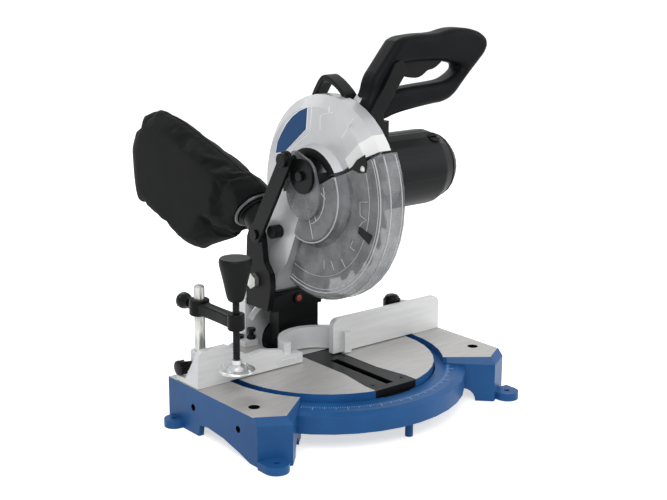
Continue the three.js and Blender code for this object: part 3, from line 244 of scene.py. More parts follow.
def rod(points, radius, closed=False, soft=True, sides=6):
    # a round bar along points
    curve = bpy.data.curves.new("rod", "CURVE")
    curve.dimensions = "3D"
    spline = curve.splines.new("BEZIER" if soft else "POLY")
    holders = spline.bezier_points if soft else spline.points
    holders.add(len(points) - 1)
    for holder, point in zip(holders, points):
        spot = [value * unit for value in point]
        if soft:
            holder.co = spot
            holder.handle_left_type = holder.handle_right_type = "AUTO"
        else:
            holder.co = spot + [1]
    spline.use_cyclic_u = closed
    curve.resolution_u = 6
    curve.bevel_depth = radius * unit
    curve.bevel_resolution = sides // 2
    curve.use_fill_caps = True
    piece = asMesh(curve)
    turnOutwards(piece)
    smooth(piece, 50)
    return piece


def block(low, high, edge=0.5, steps=2):
    deselectAll()
    middle = [(a + b) / 2 * unit for a, b in zip(low, high)]
    bpy.ops.mesh.primitive_cube_add(size=1, location=middle)
    piece = bpy.context.object
    piece.scale = [(b - a) * unit for a, b in zip(low, high)]
    freeze(piece)
    if edge:
        roundEdges(piece, edge, steps)
    smooth(piece)
    return piece


def ringAround(centre, radius, start, end, count):
    angles = [math.radians(start + (end - start) * i / count) for i in range(count + 1)]
    return [(centre[0] + radius * math.cos(a), centre[1] + radius * math.sin(a)) for a in angles]


def swungRound(piece, centre, degrees, along=0):
    # a piece made above the x axis, swung round a line that runs beside that axis
    place = [value * unit for value in (along, *centre)]
    piece.matrix_world = Matrix.Translation(place) @ Matrix.Rotation(math.radians(degrees), 4, "X")
    freeze(piece)
    return piece


# Finishes

def paintColour(code):
    # a web colour as the linear values that Blender wants
    parts = [int(code[i:i + 2], 16) / 255 for i in (1, 3, 5)]
    return [c / 12.92 if c <= 0.04045 else ((c + 0.055) / 1.055) ** 2.4 for c in parts] + [1]


finishes = {}


def shaderOf(finish):
    return finish.node_tree.nodes["Principled BSDF"]


def newFinish(name, colour, roughness, metal=0.0, coat=0.0, specular=0.5):
    finish = bpy.data.materials.new(name)
    finish.use_nodes = True
    shader = shaderOf(finish)
    shader.inputs["Base Color"].default_value = paintColour(colour)
    shader.inputs["Roughness"].default_value = roughness
    shader.inputs["Metallic"].default_value = metal
    shader.inputs["Coat Weight"].default_value = coat
    shader.inputs["Coat Roughness"].default_value = 0.15
    shader.inputs["Specular IOR Level"].default_value = specular
    finishes[name] = finish
    return finish


def addNode(finish, kind, **inputs):
    node = finish.node_tree.nodes.new(kind)
    for key, value in inputs.items():
        socket = node.inputs[key]
        if isinstance(value, bpy.types.NodeSocket):
            finish.node_tree.links.new(value, socket)
        else:
            socket.default_value = value
    return node


def link(finish, source, target):
    finish.node_tree.links.new(source, target)


def larger(finish, first, second):
    node = addNode(finish, "ShaderNodeMath")
    node.operation = "MAXIMUM"
    link(finish, first, node.inputs[0])
    link(finish, second, node.inputs[1])
    return node.outputs["Value"]


def placeOn(finish, scale=(1, 1, 1), middle=(0, 0, 0)):
    # the piece's own coordinates in metres, centred and stretched
    coordinates = addNode(finish, "ShaderNodeTexCoord")
    moved = addNode(finish, "ShaderNodeVectorMath", Vector=coordinates.outputs["Object"])
    moved.operation = "SUBTRACT"
    moved.inputs[1].default_value = [value * unit for value in middle]
    stretched = addNode(finish, "ShaderNodeMapping", Vector=moved.outputs["Vector"])
    stretched.inputs["Scale"].default_value = scale
    return stretched.outputs["Vector"]


def addGrain(finish, grain, depth, scale=(1, 1, 1)):
    # small bumps: grain is their size in mm, depth their height in mm
    spots = placeOn(finish, scale)
    noise = addNode(finish, "ShaderNodeTexNoise", Vector=spots, Scale=1 / (grain * unit), Detail=3.0)
    bump = addNode(finish, "ShaderNodeBump", Height=noise.outputs["Fac"], Strength=0.6, Distance=depth * unit)
    link(finish, bump.outputs["Normal"], shaderOf(finish).inputs["Normal"])


def addClouds(finish, dark, light, size, scale=(1, 1, 1)):
    # slow changes of shade, size in mm
    spots = placeOn(finish, scale)
    noise = addNode(finish, "ShaderNodeTexNoise", Vector=spots, Scale=1 / (size * unit), Detail=4.0)
    shades = addNode(finish, "ShaderNodeValToRGB", Fac=noise.outputs["Fac"])
    shades.color_ramp.elements[0].position = 0.3
    shades.color_ramp.elements[0].color = paintColour(dark)
    shades.color_ramp.elements[1].position = 0.7
    shades.color_ramp.elements[1].color = paintColour(light)
    link(finish, shades.outputs["Color"], shaderOf(finish).inputs["Base Color"])


# Glossy blue paint on the die-cast base
finish = newFinish("blueEnamel", "#1E5288", 0.4, 0.0, 0.06, 0.15)
addClouds(finish, "#1B4C7F", "#225890", 60)
addGrain(finish, 3.5, 0.05)

# Ground aluminium on the table and the tops of the wings, with fine lines across
finish = newFinish("groundAluminium", "#B4B3B1", 0.42, 0.4)
addClouds(finish, "#ADACAA", "#BBBAB8", 30, (1, 12, 1))
addGrain(finish, 0.5, 0.02, (0.2, 3, 1))

# Sand-cast aluminium of the fence and bracket
finish = newFinish("castAluminium", "#D2D3D5", 0.5, 0.25)
addClouds(finish, "#CCCED0", "#DADBDC", 45)
addGrain(finish, 1.4, 0.06)

# Milled face of the fence
finish = newFinish("milledFace", "#DADADA", 0.42, 0.25)
addClouds(finish, "#D4D5D5", "#E0E0E0", 25, (0.4, 1, 4))
addGrain(finish, 0.6, 0.02, (0.2, 1, 3))

# Silver paint on the upper guard
finish = newFinish("silverPaint", "#BFC1C3", 0.33, 0.35, 0.2)
addClouds(finish, "#B7B9BC", "#C7C9CB", 50)
addGrain(finish, 1.2, 0.03)

# Bare die-cast gear housing
finish = newFinish("gearCasting", "#A2A5A8", 0.45, 0.5)
addClouds(finish, "#999C9F", "#ACAFB1", 30)
addGrain(finish, 1.2, 0.05)

# Black painted castings
finish = newFinish("blackCasting", "#0B0C0D", 0.36, 0.0, 0.02, 0.1)
addClouds(finish, "#090A0B", "#0F1011", 25)
addGrain(finish, 1.3, 0.06)

# Blackened steel of bolts and the clamp's screw
finish = newFinish("blackSteel", "#17181A", 0.35, 0.5, 0.0, 0.2)
addClouds(finish, "#121315", "#1E2022", 6)

# Bright zinc plate, streaked along the post
finish = newFinish("zincPlate", "#B8B9B6", 0.28, 0.85)
addClouds(finish, "#8F908D", "#D9DAD6", 5, (1, 1, 0.25))
addGrain(finish, 1.5, 0.03, (1, 1, 0.2))

# Chrome of the clamp's foot
finish = newFinish("chromePlate", "#C8C9CA", 0.28, 0.8)
addClouds(finish, "#B4B6B7", "#D6D7D7", 8)

# Saw blade steel with turned rings
finish = newFinish("bladeSteel", "#A8AAAD", 0.3, 0.85)
ringGap = 0.9
spot = addNode(finish, "ShaderNodeSeparateXYZ", Vector=placeOn(finish, middle=(0, *arbor)))
across = addNode(finish, "ShaderNodeCombineXYZ", X=spot.outputs["Y"], Y=spot.outputs["Z"])
reach = addNode(finish, "ShaderNodeVectorMath", Vector=across.outputs["Vector"])
reach.operation = "LENGTH"
rings = addNode(finish, "ShaderNodeTexNoise", Scale=1 / (ringGap * unit), Detail=2.0)
rings.noise_dimensions = "1D"
link(finish, reach.outputs["Value"], rings.inputs["W"])
shades = addNode(finish, "ShaderNodeValToRGB", Fac=rings.outputs["Fac"])
shades.color_ramp.elements[0].color = paintColour("#8E9093")
shades.color_ramp.elements[1].color = paintColour("#BDBFC1")
link(finish, shades.outputs["Color"], shaderOf(finish).inputs["Base Color"])

# Carbide tips
newFinish("carbide", "#77797B", 0.4, 0.8)

# Dull wire of the bag's clip
newFinish("dullWire", "#5A5C5E", 0.4, 0.8)

# Bright spring wire
newFinish("springSteel", "#9A9C9E", 0.3, 0.9)

# Clear moulded guard, slightly smoked; its grey is partly a painted reflection
finish = newFinish("clearGuard", "#707376", 0.12, 0.0, 0.3, 0.3)
addClouds(finish, "#5D6063", "#8A8D90", 22)
shaderOf(finish).inputs["Alpha"].default_value = 0.66
addGrain(finish, 14, 0.25)

# Pale clear plastic on the guard's ribs, rims and edges: the ribs are real, their paleness is a painted highlight
# along them
finish = newFinish("clearEdgeHighlight", "#DADDDF", 0.15, 0.0, 0.5)
shaderOf(finish).inputs["Alpha"].default_value = 0.6

# Black shells of the motor and handle, finely grained
finish = newFinish("blackShell", "#131416", 0.4, 0.0, 0.0, 0.13)
addClouds(finish, "#111214", "#17181A", 40)
addGrain(finish, 0.9, 0.04)

# The handle's halves, less glossy than the motor
finish = newFinish("handleShell", "#101113", 0.48, 0.0, 0.0, 0.07)
addClouds(finish, "#0E0F11", "#141517", 40)
addGrain(finish, 0.9, 0.04)

# Black mouldings: knobs, link, trigger
finish = newFinish("blackMoulding", "#0E0F10", 0.32, 0.0, 0.02, 0.12)
addClouds(finish, "#0B0C0D", "#111213", 15)
addGrain(finish, 1.1, 0.03)

# Soft grips
finish = newFinish("gripRubber", "#101112", 0.5, 0.0, 0.0, 0.14)
addGrain(finish, 0.8, 0.06)

# Blue panel on the guard, with a pale border
newFinish("bluePanel", "#1B4676", 0.35, 0.0, 0.0, 0.15)
newFinish("panelBorder", "#F0F1F2", 0.4)

# Pale film strip along the guard's front edge; the same pale finish is the painted highlight on the guard's ridge and
# raised lines
newFinish("paleStripAndHighlight", "#E6E7E6", 0.45)

# Red lens of the line laser
newFinish("redLens", "#8E2A24", 0.12, 0.0, 0.4)

# Copper windings behind the motor's vents
newFinish("copperWire", "#8A5A36", 0.4, 0.7)

# Raised scale marks
newFinish("scaleMarks", "#7FA6D2", 0.45)

# Woven bag cloth: threads about 0.44 mm apart, crossing at right angles
finish = newFinish("bagCloth", "#0F1011", 0.92, 0.0, 0.0, 0.1)
addClouds(finish, "#0C0D0E", "#131415", 35)
shader = shaderOf(finish)
shader.inputs["Sheen Weight"].default_value = 0.06
shader.inputs["Sheen Roughness"].default_value = 0.5
weaveScale = 713.92  # sets the threads 0.44 mm apart
weaves = []
for direction in ("Y", "Z"):
    wave = addNode(finish, "ShaderNodeTexWave", Vector=placeOn(finish), Scale=weaveScale, Distortion=0.4)
    wave.bands_direction = direction
    weaves.append(wave.outputs["Fac"])
woven = larger(finish, *weaves)
bump = addNode(finish, "ShaderNodeBump", Height=woven, Strength=0.35, Distance=0.15 * unit)
link(finish, bump.outputs["Normal"], shader.inputs["Normal"])
print("finishes ready:", len(finishes))


# Base, fence and table

baseSizes = {
    "edge": 1.4, "frontChamfer": 7.5, "chamferFrom": -88, "top": 53, "wellRadius": 137.5,
    "sideHoles": [(8.4, 30.6), (-77, 32)], "sideFrom": 150, "topHoles": [(163.3, -79.4)], "holeReach": 6.5,
}


def facesUp(normal):
    return normal.z > 0.98


def inShadedScrewHole(middle, normal):
    # a wall of one of the small holes in the wings, which face their own axis. These walls are painted black as
    # painted shade inside the deep holes.
    size = baseSizes
    reach = size["holeReach"]
    inSide = any(math.hypot(middle.y - y, middle.z - z) < reach for y, z in size["sideHoles"])
    if inSide and abs(middle.x) > size["sideFrom"] and abs(normal.x) < 0.5:
        return True
    inTop = any(math.hypot(abs(middle.x) - x, middle.y - y) < reach for x, y in size["topHoles"])
    return inTop and abs(normal.z) < 0.5


def makeBase():
    size = baseSizes
    piece = solidCopy("base_casting", 0)
    pick(piece)
    bpy.ops.object.mode_set(mode="EDIT")
    bpy.ops.mesh.select_all(action="DESELECT")
    bpy.ops.mesh.select_mode(type="EDGE")
    mesh = bmesh.from_edit_mesh(piece.data)
    for edge in mesh.edges:
        ends = [vert.co / unit for vert in edge.verts]
        onTop = all(abs(end.z - size["top"]) < 0.1 for end in ends)
        inFront = all(end.y < size["chamferFrom"] and end.xy.length > size["wellRadius"] + 1 for end in ends)
        edge.select_set(onTop and inFront)
    bmesh.update_edit_mesh(piece.data)
    bpy.ops.mesh.bevel(offset=size["frontChamfer"] * unit, segments=1, affect="EDGES")
    bpy.ops.object.mode_set(mode="OBJECT")
    roundEdges(piece, size["edge"], 2, 28)
    smooth(piece)

    # the walls of the small holes get black paint: painted shade of the holes' depth
    def groundOrHoleShade(middle, normal):
        if middle.z > size["top"] - 0.4 and facesUp(normal):
            return 1
        return 2 if inShadedScrewHole(middle, normal) else 0

    paintFaces(piece, ["blueEnamel", "groundAluminium", "blackCasting"], groundOrHoleShade)
    settle(piece, "BaseCasting", "base", "blueEnamel", "base_casting")


scaleSizes = {
    "inner": 141, "top": 44, "proud": 0.2, "reach": 50,
    "long": 8.5, "middling": 5.5, "short": 3.2, "bold": 0.35, "fine": 0.22,
}


def makeScale():
    # mitre marks on the ring: every degree, longer at 5 and 15
    size = scaleSizes
    low, high = size["top"] - size["proud"], size["top"] + size["proud"]
    marks = []
    for degree in range(-size["reach"], size["reach"] + 1):
        length = size["long"] if degree % 15 == 0 else size["middling"] if degree % 5 == 0 else size["short"]
        half = size["bold"] if degree % 5 == 0 else size["fine"]
        mark = block((-half, -size["inner"] - length, low), (half, -size["inner"], high), 0)
        mark.matrix_world = Matrix.Rotation(math.radians(degree), 4, "Z")
        freeze(mark)
        marks.append(mark)
    settle(join("marks", *marks), "MitreScale", "base", "scaleMarks")


tableSizes = {"edge": 1.0, "groundFrom": 52.6, "troughHalf": 24, "troughLow": 15, "troughReach": 130}


def makeTable():
    size = tableSizes
    piece = solidCopy("turntable", size["edge"])

    def groundOrTrough(middle, normal):
        if middle.z > size["groundFrom"] and facesUp(normal):
            return 1
        inTrough = abs(middle.x) < size["troughHalf"] and middle.z > size["troughLow"]
        return 2 if inTrough and middle.xy.length < size["troughReach"] else 0

    paintFaces(piece, ["blueEnamel", "groundAluminium", "blackCasting"], groundOrTrough)
    settle(piece, "Turntable", "table", "blueEnamel", "turntable")
    settle(solidCopy("table_insert", 0.4), "KerfInsert", "table", "blackMoulding", "table_insert")
    dress("table", "blackSteel", 0.2, "insert_screw_1", "insert_screw_2")
    dress("base", "zincPlate", 0.3, "pivot_bolt")
    dress("base", "blueEnamel", 0.5, "front_foot")


fenceSizes = {
    "edge": 0.9, "plateFrom": -73, "plateTo": -42, "plateLow": 57.5, "plateHigh": 67,
    "proud": 0.7, "sunk": 0.3, "ribHalf": 1, "ribInset": 3, "ribProud": 0.5,
}


def makeFence():
    size = fenceSizes
    piece = solidCopy("fence", size["edge"])

    def milled(middle, normal):
        return middle.y < 0.2 and normal.y < -0.95

    paintFaces(piece, ["castAluminium", "milledFace"], milled)
    settle(piece, "Fence", "base", "castAluminium", "fence")
    dress("base", "blackSteel", 0.3, "fence_screw_1", "fence_screw_2", "fence_screw_3", "fence_screw_4")

    # bare bevel plate on the left face, with a round left end and a rib
    middle = (size["plateLow"] + size["plateHigh"]) / 2
    radius = (size["plateHigh"] - size["plateLow"]) / 2
    start, end = size["plateFrom"] + radius, size["plateTo"] - size["ribInset"]
    outline = [(size["plateTo"], size["plateLow"]), (size["plateTo"], size["plateHigh"])]
    outline += ringAround((start, middle), radius, 90, 270, 10)
    plate = cutOut("y", -size["proud"], size["sunk"], [outline], 0.25)
    low, high = middle - size["ribHalf"], middle + size["ribHalf"]
    outline = [(start, low), (end, low), (end, high), (start, high)]
    rib = cutOut("y", -size["proud"] - size["ribProud"], size["sunk"], [outline], 0.2)
    settle(join("plate", plate, rib), "BevelPlate", "base", "castAluminium")


def ribbedKnob(axis, profile, place, ribs, ribRadius, span, reach):
    # a turned knob with round ribs along its side
    parts = [turned(axis, profile, place)]
    for i in range(ribs):
        angle = math.tau * i / ribs
        a, b = place[0] + reach * math.cos(angle), place[1] + reach * math.sin(angle)
        ends = [{"x": (along, a, b), "y": (a, along, b), "z": (a, b, along)}[axis] for along in span]
        parts.append(rod(ends, ribRadius, soft=False))
    return join("knob", *parts)


mitreKnobSizes = {
    "place": (120, 20), "ribs": 10, "ribRadius": 1.5, "ribSpan": (88, 98.5), "ribReach": 9.3,
    "profile": [
        (0, 53.4), (4, 53.4), (4, 86), (8, 86), (9.6, 88), (9.8, 96), (9.2, 100), (7, 102.8), (4, 103.8),
        (0, 104),
    ],
}


def makeMitreKnob():
    size = mitreKnobSizes
    knob = ribbedKnob(
        "z", size["profile"], size["place"], size["ribs"], size["ribRadius"], size["ribSpan"], size["ribReach"],
    )
    settle(knob, "MitreLockKnob", "mitre_knob", "blackMoulding", "mitre_lock_knob")


makeBase()
makeScale()
makeTable()
makeFence()
makeMitreKnob()
print("base, fence and table done")


# Work clamp

clampSizes = {
    "postRadius": 6, "postLow": 58.3, "postHigh": 160, "postTip": 2,
    "armLow": 126, "armHigh": 144, "barLow": 127.5, "barHigh": 141.5, "barEdge": 2.2,
    "sleeve": (6.4, 10.4, 11.4), "eye": (4.4, 8.6, 9.4), "tail": (3.4, 7, 7.8), "tailFrom": 8, "tailTo": 12,
    "postHole": 6.3, "screwHole": 4.3, "holeSpare": 3,
    "screwLow": 92.6, "screwHigh": 160, "core": 3.6, "thread": 1.75, "threadRadius": 3.7, "threadWire": 0.33,
    "grip": [
        (0, 158), (7, 158), (8.2, 159), (9.6, 162), (11, 168), (13.4, 180), (15.8, 190), (17.4, 197),
        (17.9, 201), (17.6, 204), (16.4, 205.6), (14, 206), (0, 205.4),
    ],
    "foot": [
        (0, 79), (20.4, 79), (20.8, 80), (20, 81), (17.4, 81.6), (13, 81.2), (11.4, 81.8), (9.6, 84.4),
        (7, 86.4), (5.6, 87.4), (5.4, 92), (4.3, 92), (0, 91.6),
    ],
    "tab": [(0, 81), (1.8, 81), (1.8, 82.3), (1, 82.7), (0, 82.7)], "tabReach": 17.4, "tabTurn": 20,
}


def collar(axis, radii, low, high, place):
    # a short tube with its outer edges taken off; radii are the bore, the flat end and the outside
    bore, flat, outside = radii
    outer = [(flat, low), (outside, low + 1), (outside, high - 1), (flat, high)]
    return turned(axis, [(bore, low), *outer, (bore, high), (bore, low)], place)


def cylinder(radius, low, high, place, sides=48):
    return turned("z", [(0, low), (radius, low), (radius, high), (0, high)], place, sides)


def makeClampArm():
    # a sleeve on the post, a waisted bar, and an eye for the screw
    size = clampSizes
    x, y = postPlace
    eyeY = spindlePlace[1]
    low, high = size["armLow"], size["armHigh"]
    side = [(7.5, y - 8), (6.2, (y + eyeY) / 2), (7, eyeY + 7), (6.6, eyeY - 6.6)]
    outline = [(x - a, b) for a, b in side] + [(x, eyeY - 9.4)] + [(x + a, b) for a, b in side[::-1]]
    outline += [(x + 10, y + 4), (x, y + 11.4), (x - 10, y + 4)]
    bar = cutOut("z", size["barLow"], size["barHigh"], [outline], size["barEdge"], soft=True, steps=3)
    sleeve = collar("z", size["sleeve"], low, high, postPlace)
    eye = collar("z", size["eye"], low, high, spindlePlace)
    tail = collar("y", size["tail"], y + size["tailFrom"], y + size["tailTo"], (x, (low + high) / 2))
    spare = size["holeSpare"]
    holes = [
        cylinder(size["postHole"], low - spare, high + spare, postPlace),
        cylinder(size["screwHole"], low - spare, high + spare, spindlePlace),
    ]
    carve(bar, *holes)
    settle(join("arm", bar, sleeve, eye, tail), "ClampArm", "arm", "blackCasting", "clamp_arm")


def makeClamp():
    size = clampSizes
    radius, low, high, tip = size["postRadius"], size["postLow"], size["postHigh"], size["postTip"]
    profile = [(0, low), (radius, low), (radius, high - tip), (radius - tip, high), (0, high)]
    settle(turned("z", profile, postPlace), "ClampPost", "post", "zincPlate", "clamp_post")
    makeClampArm()

    # screw with its thread, and the tapered grip
    low, high = size["screwLow"], size["screwHigh"]
    turns = int((high - low) / size["thread"])
    steps = 12
    thread = []
    for i in range(turns * steps):
        angle = math.tau * i / steps
        a = spindlePlace[0] + size["threadRadius"] * math.cos(angle)
        b = spindlePlace[1] + size["threadRadius"] * math.sin(angle)
        thread.append((a, b, low + size["thread"] * i / steps))
    core = cylinder(size["core"], low, high, spindlePlace, 24)
    wound = rod(thread, size["threadWire"], soft=False, sides=2)
    grip = turned("z", size["grip"], spindlePlace, 64)
    settle(join("screw", core, wound), "ClampScrew", "spindle", "blackSteel")
    settle(grip, "ClampGrip", "spindle", "gripRubber", "clamp_spindle")

    # swivel foot, dished, with four crimped tabs
    foot = turned("z", size["foot"], spindlePlace, 64)
    tabs = []
    for quarter in range(4):
        angle = math.radians(size["tabTurn"] + 90 * quarter)
        a = spindlePlace[0] + size["tabReach"] * math.cos(angle)
        b = spindlePlace[1] + size["tabReach"] * math.sin(angle)
        tabs.append(turned("z", size["tab"], (a, b), 16))
    settle(join("foot", foot, *tabs), "ClampFoot", "foot", "chromePlate", "clamp_foot")


# Profiles run from where the knob's head starts
thumbKnobSizes = {
    "postFrom": 12, "postHeight": 69, "postRibs": 6, "postRibRadius": 1.2, "postRibSpan": (-16, -8),
    "postReach": 7.0,
    "post": [
        (0, 5.6), (3, 5.6), (3, 0), (5, -0.4), (5.6, -6), (7.6, -13), (8.6, -16), (8.4, -18), (6.6, -19),
        (0, -19),
    ],
    "armFrom": 20, "armRibs": 5, "armRibRadius": 1.6, "armRibSpan": (7, 14), "armReach": 7.9,
    "arm": [
        (0, -13.6), (3, -13.6), (3, 0), (5.2, 0), (6, 3), (8.4, 6), (9.4, 10), (9.2, 14), (7.4, 16.4), (4, 17),
        (0, 17),
    ],
}


def makeThumbKnobs():
    # post lock: a cone on its side; arm lock: a round-nosed thumb knob
    size = thumbKnobSizes
    x, y = postPlace
    start = x - size["postFrom"]
    profile = [(radius, start + along) for radius, along in size["post"]]
    span = [start + along for along in size["postRibSpan"]]
    knob = ribbedKnob(
        "x", profile[::-1], (y, size["postHeight"]), size["postRibs"], size["postRibRadius"], span, size["postReach"],
    )
    settle(knob, "PostLockKnob", "post_knob", "blackMoulding", "post_lock_knob")
    start = y + size["armFrom"]
    profile = [(radius, start + along) for radius, along in size["arm"]]
    span = [start + along for along in size["armRibSpan"]]
    place = (x, (clampSizes["armLow"] + clampSizes["armHigh"]) / 2)
    knob = ribbedKnob("y", profile, place, size["armRibs"], size["armRibRadius"], span, size["armReach"])
    settle(knob, "ArmThumbscrew", "arm_knob", "blackMoulding", "arm_thumbscrew")


makeClamp()
makeThumbKnobs()
print("work clamp done")


# Bevel bracket, tilting fork and hinge

def makeBevelGroup():
    dress("table", "castAluminium", 1.2, "bevel_bracket")
    dress("table", "blackSteel", 0.3, "bracket_screw_1", "bracket_screw_2")
    dress("table", "blackSteel", 0.4, "bevel_stop_screw")
    dress("tilt", "blackCasting", 1.6, "tilt_fork", steps=3)
    dress("tilt", "zincPlate", 0.4, "tilt_bolt")
    dress("bevel_handle", "blackMoulding", 1.2, "bevel_lever")
    dress("tilt", "blackMoulding", 0.4, "laser_module")
    dress("tilt", "redLens", 0.2, "laser_lens")
    dress("tilt", "zincPlate", 0.6, "hinge_pin")
    dress("tilt", "springSteel", 0, "return_spring")
    dress("lock_pin", "blackMoulding", 0.6, "head_lock_pin")


makeBevelGroup()
print("bevel group done")


# Upper guard

guardSizes = {
    "face": -15, "hub": 51.6, "border": 1.7, "proud": 0.4,
    "panel": [
        (17.9, 347.8), (20.5, 322.8), (60, 291.5), (77.7, 287.4), (74, 301), (66.7, 312), (56.5, 324.5),
        (45.2, 334.3), (32, 342.3),
    ],
    "ridge": [(10.3, 349), (14, 319.6), (53.3, 290.8), (66, 286)],
    "marks": [
        [(-4.8, 325), (-4.7, 340), (-8, 342.5), (-25.7, 347)],
        [(-61, 344), (-43, 321.5)], [(-20, 353), (-20.5, 347)],
    ],
    "strip": {
        "start": 138, "end": 148.5, "thick": 0.4,
        "profile": [(66, -15.4), (96, -15.4), (109.8, -4.2), (109.8, 12)],
    },
}


def makeUpperGuard():
    size = guardSizes
    face = size["face"]
    piece = solidCopy("upper_guard", 1.8, 3, 25)

    # the inner cone of the hub opening is painted black as painted shade of the dark interior seen through it
    def hubShade(middle, normal):
        return math.hypot(middle.y - arbor[0], middle.z - arbor[1]) < size["hub"] and middle.x < face - 1

    paintFaces(piece, ["silverPaint", "blackCasting"], hubShade)
    settle(piece, "UpperGuard", "head", "silverPaint", "upper_guard")

    # bare blue panel with a pale border
    panel = [Vector(corner) for corner in size["panel"]]
    middle = Vector([sum(corner[axis] for corner in size["panel"]) for axis in (0, 1)]) / len(panel)
    grown = [tuple(corner + (corner - middle).normalized() * size["border"]) for corner in panel]
    border = cutOut("x", face - size["proud"], face + 0.5, [grown], 0.15)
    settle(border, "PanelBorder", "head", "panelBorder")
    panel = cutOut("x", face - size["proud"] - 0.25, face, [size["panel"]], 0.1)
    settle(panel, "BluePanel", "head", "bluePanel")

    # ridge beside the panel and raised lines on the face; their pale colour is a painted highlight along each line
    for number, ends in enumerate([size["ridge"]] + size["marks"]):
        line = rod([(face + 0.3, *end) for end in ends], 0.9 if number == 0 else 0.7, soft=False)
        settle(line, f"GuardRidge{number + 1}", "head", "paleStripAndHighlight")

    # pale film over the front edge
    strip = size["strip"]
    film = turned("x", strip["profile"], arbor, 240)
    pick(film)
    bpy.ops.object.mode_set(mode="EDIT")
    bpy.ops.mesh.select_all(action="DESELECT")
    bpy.ops.mesh.select_mode(type="VERT")
    mesh = bmesh.from_edit_mesh(film.data)
    for vert in mesh.verts:
        angle = math.degrees(math.atan2(vert.co.z / unit - arbor[1], vert.co.y / unit - arbor[0]))
        vert.select_set(not strip["start"] - 0.1 <= angle <= strip["end"] + 0.1)
    bmesh.update_edit_mesh(film.data)
    bpy.ops.mesh.delete(type="VERT")
    bpy.ops.object.mode_set(mode="OBJECT")
    useModifier(film, "SOLIDIFY", thickness=strip["thick"] * unit, offset=0)
    smooth(film)
    settle(film, "GuardFilm", "head", "paleStripAndHighlight")


neckSizes = {"frontFrom": -38, "low": 294}


def makeHeadSolids():
    housing = solidCopy("gear_housing", 1.0, 2)

    def frontOfNeck(middle, normal):
        return middle.y < neckSizes["frontFrom"] and middle.z > neckSizes["low"]

    paintFaces(housing, ["gearCasting", "blackShell"], frontOfNeck)
    settle(housing, "GearHousing", "head", "gearCasting", "gear_housing")
    dress("arbor", "zincPlate", 0.4, "arbor_shaft")
    dress("arbor", "blackSteel", 0.5, "outer_flange", "arbor_bolt")
    dress("head", "gripRubber", 1.0, "stop_buffer")
    dress("release", "blackMoulding", 0.8, "release_lever")
    dress("head", "blackMoulding", 0.6, "power_switch")
    dress("lock_button", "blackMoulding", 0.6, "lock_off_button")
    dress("rotor", "copperWire", 0.4, "armature")


bladeSizes = {
    "radius": 105, "teeth": 24, "slots": 4, "slotTurn": 21, "slotFrom": 84, "slotTo": 101, "slotHalf": 0.5,
    "tipHalf": 1.3, "tipLow": 7, "tipHigh": 0.2, "tipBack": 0.2, "tipFront": 1.8,
}


def makeBlade():
    size = bladeSizes
    piece = solidCopy("blade", 0.15, 1)
    cutters = []
    for i in range(size["slots"]):
        # narrow slots that let the rim grow when it is hot
        cutter = block((-3, -size["slotHalf"], size["slotFrom"]), (3, size["slotHalf"], size["slotTo"]), 0)
        cutters.append(swungRound(cutter, arbor, -360 * i / size["slots"] - size["slotTurn"]))
    carve(piece, *cutters)
    settle(piece, "Blade", "arbor", "bladeSteel", "blade")
    tips = []
    for i in range(size["teeth"]):
        tip = block(
            (-size["tipHalf"], -size["tipBack"], size["radius"] - size["tipLow"]),
            (size["tipHalf"], size["tipFront"], size["radius"] - size["tipHigh"]), 0.1, 1,
        )
        tips.append(swungRound(tip, arbor, 360 / size["teeth"] * i - 90))
    settle(join("tips", *tips), "BladeTips", "arbor", "carbide")


makeUpperGuard()
makeHeadSolids()
makeBlade()
print("guard and blade done")


# Motor

motorSizes = {
    "radius": 44, "from": 46.3, "shoulder": 118, "to": 134, "endRadius": 38, "wall": 4, "sides": 12,
    "holeTurns": (122, 302), "holeAlong": 114, "holeRadius": 8.3, "holeLow": 30, "holeHigh": 60,
    "ribTurns": (60, 95, 150, 185, 215, 250, 285, 330), "ribFrom": 52, "ribTo": 112, "ribHalf": 3.4,
    "ribLow": 2.2, "ribHigh": 0.1,
    "capFrom": 134.3, "capTo": 149, "capSmall": 27,
    "vents": 7, "ventLow": -15, "ventGap": 5, "ventHalf": 1.1, "ventReach": 19, "ventDepth": 6,
}


def makeMotor():
    size = motorSizes
    radius = size["radius"]
    profile = [
        (radius - size["wall"], size["from"]), (radius, size["from"]), (radius, size["shoulder"]),
        (size["endRadius"], size["to"]), (size["endRadius"] - size["wall"], size["to"]),
        (radius - size["wall"], size["shoulder"] - size["wall"]), (radius - size["wall"], size["from"]),
    ]
    shell = turned("x", profile, motorAxis, size["sides"] * 2)
    roundEdges(shell, 2.0, 3, 20)
    holes = []
    for turn in size["holeTurns"]:
        hole = cylinder(size["holeRadius"], size["holeLow"], size["holeHigh"], (0, 0), 32)
        holes.append(swungRound(hole, motorAxis, turn - 90, size["holeAlong"]))
    carve(shell, *holes)
    smooth(shell)

    # long cooling ribs, flat on top
    ribs = []
    for turn in size["ribTurns"]:
        rib = block(
            (size["ribFrom"], -size["ribHalf"], radius - size["ribLow"]),
            (size["ribTo"], size["ribHalf"], radius - size["ribHigh"]), 1.2, 3,
        )
        ribs.append(swungRound(rib, motorAxis, turn - 90))
    settle(join("shell", shell, *ribs), "MotorHousing", "head", "blackShell", "motor_housing")
    makeMotorCap()


